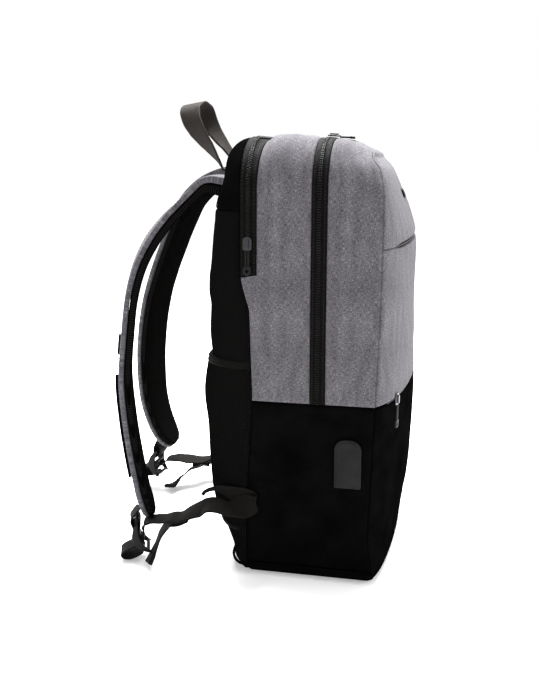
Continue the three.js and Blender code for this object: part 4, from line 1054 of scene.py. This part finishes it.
def top_webbing_stations(strap):
    lock = lock_frame(strap)
    clearance = (lock_thickness + webbing_thickness) / 2 + bar_clearance
    here, before = strap_stations(strap)[-3], strap_stations(strap)[-4]
    off_strap = unit(np.cross(here["across"], here["at"] - before["at"]))
    start = here["at"] + off_strap * (cover_top + seam_gap + webbing_thickness / 2)
    places = [start] + [lock_place(lock, down, clearance * off) for down, off in top_bar_route]
    across = turned_across(strap["side"], strap["lock"]["turn"])
    return [webbing_station(at, across) for at in places]


def flat_section(width, thickness):
    return rounded_section(width, -thickness / 2, thickness / 2, thickness * 0.45)


def make_anchors(name, strap):
    bands = (
        ("_wing", wing_stations(strap["side"]), 8),
        ("_webbing", webbing_stations(strap), 10),
        ("_webbing_tail", tail_stations(strap), 10),
        ("_top_webbing", top_webbing_stations(strap), 8),
    )
    for ending, stations, steps in bands:
        band_piece(name + ending, frames_along(stations, steps), flat_section, "webbing")


def handle_stations():
    root_y = back_point(handle_spacing / 2, handle_root_height)

    def end(side):
        made = []
        for aside, back, up, left_turn, right_turn in handle_route:
            angle = (left_turn if side < 0 else right_turn) * math.pi / 2
            made.append({
                "at": np.array([side * handle_spacing * aside / 2, root_y + handle_lean * back,
                                handle_root_height + handle_rise * up]),
                "across": np.array([-side * math.cos(angle), math.sin(angle),
                                    -handle_tilt * math.sin(angle)]),
                "width": handle_width,
                "thickness": handle_thickness,
            })
        return made

    return end(-1)[::-1] + end(1)[1:]


for strap_name, strap_data in straps.items():
    make_strap(strap_name, strap_data)
    make_anchors(strap_name, strap_data)

left_stations = strap_stations(straps["left"])
pocket_low = cover_top + seam_gap


def strap_pocket_section(width, thick):
    wide = width * strap_pocket_width / strap_width
    return rounded_section(wide, pocket_low, pocket_low + strap_pocket_rise, 1.3, 0.4)


def strap_pull_section(width, thick):
    return rounded_section(strap_pull_width, pocket_low, pocket_low + pull_rise, 1.1)


band_piece("strap_pocket", frames_along(left_stations, 16, 9.0, 11.5), strap_pocket_section,
           "black")
band_piece("strap_pocket_pull", frames_along(left_stations, 16, 8.0, 8.5), strap_pull_section,
           "rubber")
band_piece("handle", frames_along(handle_stations(), 12), flat_section, "handle")


# Small parts on the body

def joined_piece(name, copies, faces, material, replaced):
    """One mesh of many copies of a small closed form; copies is their points, one row each."""
    count, size = copies.shape[:2]
    offsets = np.arange(count)[:, None, None] * size
    mesh = mesh_of(name, copies.reshape(-1, 3), (offsets + np.array(faces)[None]).reshape(-1, 4))
    fix_normals(mesh)
    return finish_piece(name, mesh, material, replaced)


def pebble(half_length, half_width, half_height):
    """Corners and faces of a small rounded block round the origin: along, across and out."""
    octagon = ((-1, -0.6), (-0.6, -1), (0.6, -1), (1, -0.6), (1, 0.6), (0.6, 1), (-0.6, 1), (-1, 0.6))
    levels = ((-1.0, 0.55), (0.0, 1.0), (1.0, 0.55))
    points = [
        (along * half_length * size, across * half_width * size, out * half_height)
        for out, size in levels
        for along, across in octagon
    ]
    faces = []
    for ring in (0, 8):
        faces += [(ring + k, ring + (k + 1) % 8, ring + 8 + (k + 1) % 8, ring + 8 + k) for k in range(8)]
    for ring in (0, 16):
        faces += [(ring, ring + 1, ring + 2, ring + 7), (ring + 7, ring + 2, ring + 3, ring + 6),
                  (ring + 6, ring + 3, ring + 4, ring + 5)]
    return np.array(points), faces


def resampled(points, pitch):
    """Points at an even pitch along a line, with the line's directions there."""
    run = lengths_of(points[:, None], 0)[:, 0]
    count = max(int(run[-1] / pitch), 2)
    at = np.linspace(run[0], run[-1], count)
    even = np.stack([np.interp(at, run, points[:, k]) for k in range(3)], axis=-1)
    return even, unit(np.gradient(even, axis=0))


def row_of(points, normals, pitch, form, lift):
    """Copies of a small form along a line, lying along it with their backs outwards."""
    centres, along = resampled(points, pitch)
    nearest = np.argmin(np.linalg.norm(points[None] - centres[:, None], axis=-1), axis=1)
    out = unit(normals[nearest] - along * np.sum(normals[nearest] * along, axis=-1, keepdims=True))
    across = np.cross(out, along)
    centres = centres + out * lift
    return (centres[:, None] + along[:, None] * form[None, :, :1] + across[:, None] * form[None, :, 1:2]
            + out[:, None] * form[None, :, 2:])


def arch_line(depth, low):
    """Line over the body at one depth, from foot to foot, with its normals."""
    grid = arch_grid(at_depth(depth - 1.0), at_depth(depth + 1.0), low, 2)
    return grid[1], normals_of(grid)[1]


def make_coils():
    """Zip teeth in two rows that mesh along each zip, over the middle of its tape."""
    form, faces = pebble(0.75, 1.35, 0.75)
    rows = (
        ("main_zip_coil", main_zip_offset, black_height + 1.0),
        ("laptop_zip_coil", back_seam_depth - laptop_zip_width / 2, laptop_zip_low + 1.0),
    )
    for name, depth, low in rows:
        copies = []
        for aside, start in ((-0.85, 0), (0.85, 1)):
            points, normals = arch_line(depth + aside, low)
            copies.append(row_of(points[start:], normals[start:], tooth_pitch, form, zip_coil_rise / 2))
        joined_piece(name, np.concatenate(copies), faces, "zip", [name])


def outline_mesh(outline, holes, thickness, bevel):
    """Plate with rounded edges from a flat outline and its holes."""
    curve = bpy.data.curves.new("plate", "CURVE")
    curve.dimensions = "2D"
    curve.fill_mode = "BOTH"
    curve.extrude = thickness / 2 - bevel
    curve.bevel_depth = bevel
    curve.bevel_resolution = 3
    curve.offset = -bevel
    for loop in [outline, *holes]:
        spline = curve.splines.new("POLY")
        spline.points.add(len(loop) - 1)
        for point, (x, y) in zip(spline.points, loop):
            point.co = (x, y, 0, 1)
        spline.use_cyclic_u = True
    holder = bpy.data.objects.new("plate", curve)
    mesh = bpy.data.meshes.new_from_object(holder)
    points = np.zeros(len(mesh.vertices) * 3)
    mesh.vertices.foreach_get("co", points)
    faces = [tuple(face.vertices) for face in mesh.polygons]
    bpy.data.objects.remove(holder)
    bpy.data.meshes.remove(mesh)
    return points.reshape(-1, 3), faces


def rounded_outline(width, height, low_radius, high_radius, steps=6):
    """Points round a plate from its lower left, with its lower edge at 0."""
    low_x, high_x = width / 2 - low_radius, width / 2 - high_radius
    high_y = height - high_radius
    corners = (
        (low_x, low_radius, low_radius, -90), (high_x, high_y, high_radius, 0),
        (-high_x, high_y, high_radius, 90), (-low_x, low_radius, low_radius, 180),
    )
    points = []
    for x, y, radius, start in corners:
        for k in range(steps + 1):
            angle = math.radians(start + 90 * k / steps)
            points.append((x + radius * math.cos(angle), y + radius * math.sin(angle)))
    return points


def ring_outline(x, y, radius, steps=14):
    return [(x + radius * math.cos(2 * math.pi * k / steps), y + radius * math.sin(2 * math.pi * k / steps))
            for k in range(steps)]


def shifted(plate, x, y, z):
    points, faces = plate
    return points + np.array([x, y, z]), faces


def plate_piece(name, parts, place, material):
    """Piece of one or more plates; place puts a plate's own points on the body."""
    points, faces = [], []
    for part_points, part_faces in parts:
        start = sum(len(p) for p in points)
        points.append(part_points)
        faces += [tuple(i + start for i in face) for face in part_faces]
    placed = place(np.concatenate(points))
    mesh = bpy.data.meshes.new(name)
    mesh.from_pydata((placed * MM).tolist(), [], faces)
    made = bmesh.new()
    made.from_mesh(mesh)
    bmesh.ops.remove_doubles(made, verts=made.verts, dist=weld_distance)
    bmesh.ops.recalc_face_normals(made, faces=made.faces)
    made.to_mesh(mesh)
    made.free()
    finish_piece(name, mesh, material, [name])
    mesh.polygons.foreach_set("use_smooth", np.zeros(len(mesh.polygons), bool))


def on_left_side(depth, height, lift):
    """Places on the left side: a plate's x runs forwards, its y upwards and its z outwards."""
    def place(points):
        z = height + points[:, 1]
        return np.stack([-half_width_at(z) - lift - points[:, 2], depth - points[:, 0], z], axis=-1)
    return place


def on_front(aside, height, lift):
    def place(points):
        x, z = aside + points[:, 0], height + points[:, 1]
        return np.stack([x, front_surface(x, z) - lift - points[:, 2], z], axis=-1)
    return place


def on_top(aside, depth, lift):
    """Places on the top: a plate's y runs towards the front."""
    def place(points):
        x, y = aside + points[:, 0], depth - points[:, 1]
        front = front_seam_at(x, top_seam_height + 0 * x)
        way = (y - front) / (back_seam_depth - front)
        return np.stack([x, y, top_height_at(way) + lift + points[:, 2]], axis=-1)
    return place


def slider_parts():
    body = outline_mesh(rounded_outline(slider_width, slider_length, 2.4, 3.4), [], slider_rise * 0.55, 0.6)
    bridge = outline_mesh(rounded_outline(3.2, slider_length * 0.7, 1.2, 1.2), [], slider_rise * 0.6, 0.5)
    return [body, shifted(bridge, 0, slider_length * 0.15, slider_rise * 0.55)]


def pull_parts(length):
    """Cord from the slider, in two strands, and the ring-shaped grip at its end."""
    grip = 9.0 if length > 20 else 5.5
    strand = outline_mesh(rounded_outline(1.8, length - grip + 1.5, 0.8, 0.8), [], pull_rise * 0.75, 0.6)
    strands = [shifted(strand, side * 1.35, grip - 1.0, 0) for side in (-1, 1)]
    hole = ring_outline(0, grip * 0.45, grip * 0.17)
    ring = outline_mesh(rounded_outline(pull_width, grip, pull_width * 0.42, 2.0), [hole], pull_rise, 0.7)
    return [*strands, ring]


def make_sliders():
    laptop_depth = back_seam_depth - laptop_zip_width / 2
    over_coil = zip_coil_rise + 2 * seam_gap
    slider_lift = slider_rise * 0.3
    pull_lift = pull_rise / 2
    low = black_height - slider_length / 2
    upside_down = np.array([1, -1, 1])
    turned = [shifted((points * upside_down, faces), 0, main_pull_length, 0)
              for points, faces in pull_parts(main_pull_length)]
    rows = (
        ("laptop_zip_slider", "metal", slider_parts(),
         on_left_side(laptop_depth, laptop_slider_high, over_coil + slider_lift)),
        ("laptop_zip_pull", "rubber", pull_parts(pull_length),
         on_left_side(laptop_depth, laptop_slider_high - pull_length, over_coil + pull_lift)),
        ("lower_pocket_slider", "metal", slider_parts(),
         on_front(-lower_slider_aside, low, slider_lift)),
        ("lower_pocket_pull", "rubber", pull_parts(pull_length),
         on_front(-lower_slider_aside, low - pull_length, pull_lift + seam_gap)),
        ("main_zip_slider", "metal", slider_parts(),
         on_top(-main_slider_aside, main_zip_offset + slider_length / 2, over_coil + slider_lift)),
        ("main_zip_pull", "rubber", turned,
         on_top(-main_slider_aside, main_zip_offset - slider_length / 2, pull_lift + seam_gap)),
    )
    for name, material, parts, place in rows:
        plate_piece(name, parts, place, material)


def raised_edge(points, lift):
    return [(x, y + lift) for x, y in points]


def make_plates():
    badge = outline_mesh(rounded_outline(badge_width, badge_height, 1.2, 1.2), [], badge_rise, 0.35)
    inner = raised_edge(rounded_outline(badge_width - 5, badge_height - 5, 0.5, 0.5), 1)
    border = outline_mesh(rounded_outline(badge_width - 3, badge_height - 3, 0.8, 0.8), [inner], 0.5, 0.15)
    badge_parts = [badge, shifted(border, 0, 1.5, badge_rise / 2)]
    plate_piece("badge", badge_parts, on_front(0, badge_low, badge_rise / 2 + seam_gap), "rubber")
    depth = float(front_seam_at(-body_width / 2, flap_low)) + flap_setback + flap_width / 2
    high = flap_width * 0.4
    flap = outline_mesh(rounded_outline(flap_width, flap_height, 2.0, high, 10), [], flap_rise * 0.75, 1.2)
    inset = rounded_outline(flap_width - 4.8, flap_height - 4.8, 1.2, high - 2, 10)
    panel = outline_mesh(raised_edge(inset, 2.4), [], flap_rise * 0.5, 0.9)
    flap_parts = [flap, shifted(panel, 0, 0, flap_rise * 0.3)]
    flap_lift = flap_rise * 0.4 + seam_gap
    plate_piece("socket_flap", flap_parts, on_left_side(depth, flap_low, flap_lift), "rubber")


def crescent_outline():
    """Side rail of a ladder lock seen from the side: down along its length, out through its depth."""
    shares = np.linspace(-0.5, 0.5, 15)
    deep = lock_thickness / 2 + rail_depth * (1 - (2 * shares) ** 2)
    outer = [(lock_length * s, lock_bow_at(s) + d) for s, d in zip(shares, deep)]
    inner = [(lock_length * s, lock_bow_at(s) - lock_thickness / 2) for s in shares[::-1]]
    return outer + inner


def make_locks():
    bar_length = lock_width - 2 * lock_bar + 1.0
    for name, strap in straps.items():
        centre, downwards, outwards = lock_frame(strap)
        across = turned_across(strap["side"], strap["lock"]["turn"])
        rail = outline_mesh(crescent_outline(), [], lock_bar, 0.8)
        parts = [shifted(rail, 0, 0, side * (lock_width - lock_bar) / 2) for side in (-1, 1)]
        for share in (-0.45, 0.0, 0.45):
            bow = float(lock_bow_at(share))
            section = rounded_outline(lock_bar, lock_thickness, 1, 1)
            profile = [(lock_length * share + x, bow + y) for x, y in section]
            bar = outline_mesh(profile, [], bar_length, 0.3)
            parts.append(shifted(bar, 0, -lock_thickness / 2, 0))

        def place(points):
            return centre + points[:, :1] * downwards + points[:, 1:2] * outwards + points[:, 2:] * across

        plate_piece(name + "_ladder_lock", parts, place, "plastic")


def make_pocket_edges():
    """Bound edge at the back pocket's mouth and the sewn edge at its foot."""
    hem = lambda x, z: pocket_surface(x, z) + pocket_hem_rise
    high = cap_grid(hem, False, pocket_top - pocket_hem_height + 0.3, pocket_top, 1.5)
    low = cap_grid(hem, False, pocket_bottom, pocket_bottom + pocket_hem_height / 2, 1.5)
    sheet_piece("back_pocket_hem", high, "tape", "black_cloth", tucks="udlr", wrinkle=0.3, seed=41, tuck=1.0,
                flange=pocket_wall + pocket_hem_rise - 0.6)
    sheet_piece("back_pocket_binding", low, "tape", "black_cloth", tucks="udlr", wrinkle=0.2,
                seed=42, tuck=0.8,
                flange=pocket_wall)


def make_slit_tapes():
    """Zip tapes behind the slits in the front, with their teeth."""
    form, faces = pebble(0.7, 1.0, 0.7)
    x = np.linspace(-slit_half_length, slit_half_length, 60)
    half_tape = zip_tape_width / 2
    for name, height in (("front_pocket_zip", slit_height), ("lower_pocket_zip", black_height)):
        across, up = np.meshgrid(x, height + np.linspace(-half_tape, half_tape, 8))
        grid = np.stack([across, front_surface(across, up) + slit_tape_depth, up], axis=-1)
        sheet_piece(name + "_tape", grid, "tape", "black_cloth", tucks="", wrinkle=0.0, pucker=0.0, seed=43)
        z = height + 0 * x
        line = np.stack([x, front_surface(x, z) + slit_teeth_depth, z], axis=-1)
        out = np.tile([0.0, -1.0, 0.0], (len(line), 1))
        teeth = row_of(line, out, tooth_pitch, form, 0)
        joined_piece(name + "_teeth", teeth, faces, "metal", [])


def ring_at(z, lift):
    """Closed line round the body at one height."""
    half = float(outline_half_at(top_height_at(0.5), np.array(z)))
    x = np.linspace(-half, half, 90)
    front = np.stack([x, front_surface(x, z + 0 * x) - lift, z + 0 * x], axis=-1)
    back = np.stack([x[::-1], back_surface(x[::-1], z + 0 * x) + lift, z + 0 * x], axis=-1)
    depth = np.linspace(front[-1, 1], back[0, 1], 30)[1:-1]
    right = np.stack([half + lift + 0 * depth, depth, z + 0 * depth], axis=-1)
    left = right[::-1] * np.array([-1, 1, 1])
    return np.concatenate([front, right, back, left])


def make_piping():
    line = ring_at(piping_low + piping_width / 2, 2 * seam_gap)
    count = len(line)
    tangents = unit(np.roll(line, -1, axis=0) - np.roll(line, 1, axis=0))
    up = np.array([0.0, 0.0, 1.0])
    out = unit(np.cross(tangents, up))
    angles = np.linspace(0, 2 * math.pi, 12, endpoint=False)
    points = (line[:, None] + out[:, None] * (piping_rise * np.cos(angles))[None, :, None]
              + up[None, None] * (piping_width / 2 * np.sin(angles))[None, :, None])
    loop = np.concatenate([points, points[:1]])
    quads = grid_quads(count + 1, 12, joined=True) % (count * 12)
    run = np.arange(count)[:, None] * 2.0 + 0 * angles[None]
    uv = np.stack([np.broadcast_to(angles * piping_rise, run.shape), run], axis=-1)
    mesh = mesh_of("base_piping", loop[:-1], quads, uv)
    fix_normals(mesh)
    finish_piece("base_piping", mesh, "black", ["base_piping"])


def arch_rows(depths, low, form, lift):
    """Rows of stitches over the body from foot to foot, one for each depth."""
    lines_over = [arch_line(depth, low) for depth in depths]
    return [row_of(points, normals, stitch_pitch, form, lift) for points, normals in lines_over]


def strap_rows(form):
    """Rows of stitches along both edges of each strap's cover."""
    rows = []
    for strap in straps.values():
        centres, across, through, width, thickness = frames_along(strap_stations(strap), 14, 1.5, 14)
        lift = thickness * cover_top - 0.2
        for side in (-1, 1):
            aside = side * (width / 2 - 5.0)
            points = centres + across * aside[:, None] + through * lift[:, None]
            rows.append(row_of(points, through, stitch_pitch, form, 0.0))
    return rows


def back_rows(form):
    """Rows of stitches at the yoke's edge and at both edges of the pocket's hem."""
    rows = []
    half = body_width / 2 - 22
    for height in (yoke_low + 4.0, pocket_top - 2.2, pocket_top - pocket_hem_height + 2.2):
        x = np.linspace(-half, half, 90)
        z = height + 0 * x
        over = pocket_surface if height < yoke_low else back_surface
        lift = pocket_hem_rise if height < yoke_low else 0.0
        points = np.stack([x, over(x, z) + lift, z], axis=-1)
        rows.append(row_of(points, np.tile([0.0, 1.0, 0.0], (len(x), 1)), stitch_pitch, form, 0.15))
    return rows


def make_stitches():
    """Rows of thread beside the zips, the yoke's edge and the strap's edges."""
    form, faces = pebble(stitch_length / 2, thread_width, thread_width / 2)
    front_edge = main_zip_offset - zip_tape_width / 2
    back_edge = main_zip_offset + zip_tape_width / 2
    low = black_height + 4
    main_rows = arch_rows((front_edge + 2.2, back_edge - 2.2), low, form, 0.0)
    laptop_depths = (back_seam_depth - laptop_zip_width + 2.4, back_seam_depth - 2.4)
    laptop_rows = arch_rows(laptop_depths, laptop_zip_low + 3, form, 0.0)
    groups = (
        ("gusset_stitches", arch_rows((front_edge - 4.6, back_edge + 4.6), low, form, -0.1),
         "thread", "grey_cloth"),
        ("zip_tape_stitches", main_rows + laptop_rows, "black_thread", "black_cloth"),
        ("strap_stitches", strap_rows(form), "thread", "grey_cloth"),
        ("back_stitches", back_rows(form), "black_thread", "black_cloth"),
    )
    for name, rows, material, slot in groups:
        joined_piece(name, np.concatenate(rows), faces, material, [])


make_coils()
make_stitches()
make_sliders()
make_plates()
make_locks()
make_pocket_edges()
make_slit_tapes()
make_piping()


# Stage, light and camera

sensor_width = 36.0
focal_pixels = 900.0
photo_height_pixels = 700.0
camera_place = (-0.9972, -0.146, 0.432)
camera_yaw = 12.6
camera_pitch = 12.2

def make_stage():
    bpy.ops.mesh.primitive_plane_add(size=400, location=(0, 0, -0.0004))
    floor = bpy.context.object
    floor.name = "floor"
    tree = Tree("pale floor")
    place = tree.node("TexCoord").outputs["Object"]
    cloud = tree.noise(place, 3.0, 2.0)
    pale = tree.ramp(cloud, [(0.3, (0.89, 0.89, 0.89)), (0.7, (0.91, 0.91, 0.91))])
    tree.put(tree.shader, "Base_Color", pale)
    tree.shader.inputs["Roughness"].default_value = 0.28
    tree.shader.inputs["Emission Color"].default_value = (1, 1, 1, 1)
    tree.shader.inputs["Emission Strength"].default_value = 0.3
    floor.data.materials.append(tree.material)


def make_light(name, location, target, size, power, color=(1, 1, 1)):
    data = bpy.data.lights.new(name, "AREA")
    data.shape = "RECTANGLE"
    data.size, data.size_y = size
    data.energy = power
    data.color = color
    light = bpy.data.objects.new(name, data)
    light.location = location
    direction = Vector(target) - Vector(location)
    light.rotation_euler = direction.to_track_quat("-Z", "Y").to_euler()
    bpy.context.scene.collection.objects.link(light)


def make_world():
    world = bpy.data.worlds.new("studio")
    bpy.context.scene.world = world
    world.use_nodes = True
    background = world.node_tree.nodes["Background"]
    background.inputs["Color"].default_value = (1, 1, 1, 1)
    background.inputs["Strength"].default_value = 1.0


def make_camera():
    data = bpy.data.cameras.new("camera")
    data.sensor_fit = "AUTO"
    data.sensor_width = sensor_width
    data.lens = focal_pixels / photo_height_pixels * sensor_width
    camera = bpy.data.objects.new("camera", data)
    bpy.context.scene.collection.objects.link(camera)
    camera.location = camera_place
    yaw, pitch = math.radians(camera_yaw), math.radians(camera_pitch)
    ahead = Vector((math.cos(pitch) * math.cos(yaw), math.cos(pitch) * math.sin(yaw), -math.sin(pitch)))
    camera.rotation_euler = ahead.to_track_quat("-Z", "Y").to_euler()
    bpy.context.scene.camera = camera


make_stage()
make_world()
make_light("front", (-0.2, -2.2, 1.1), (0, 0, 0.25), (1.6, 1.6), 30)
make_light("top", (0.7, 0.2, 1.9), (0, 0, 0.4), (1.4, 1.4), 260)
make_camera()
bpy.context.scene.view_settings.view_transform = "Standard"
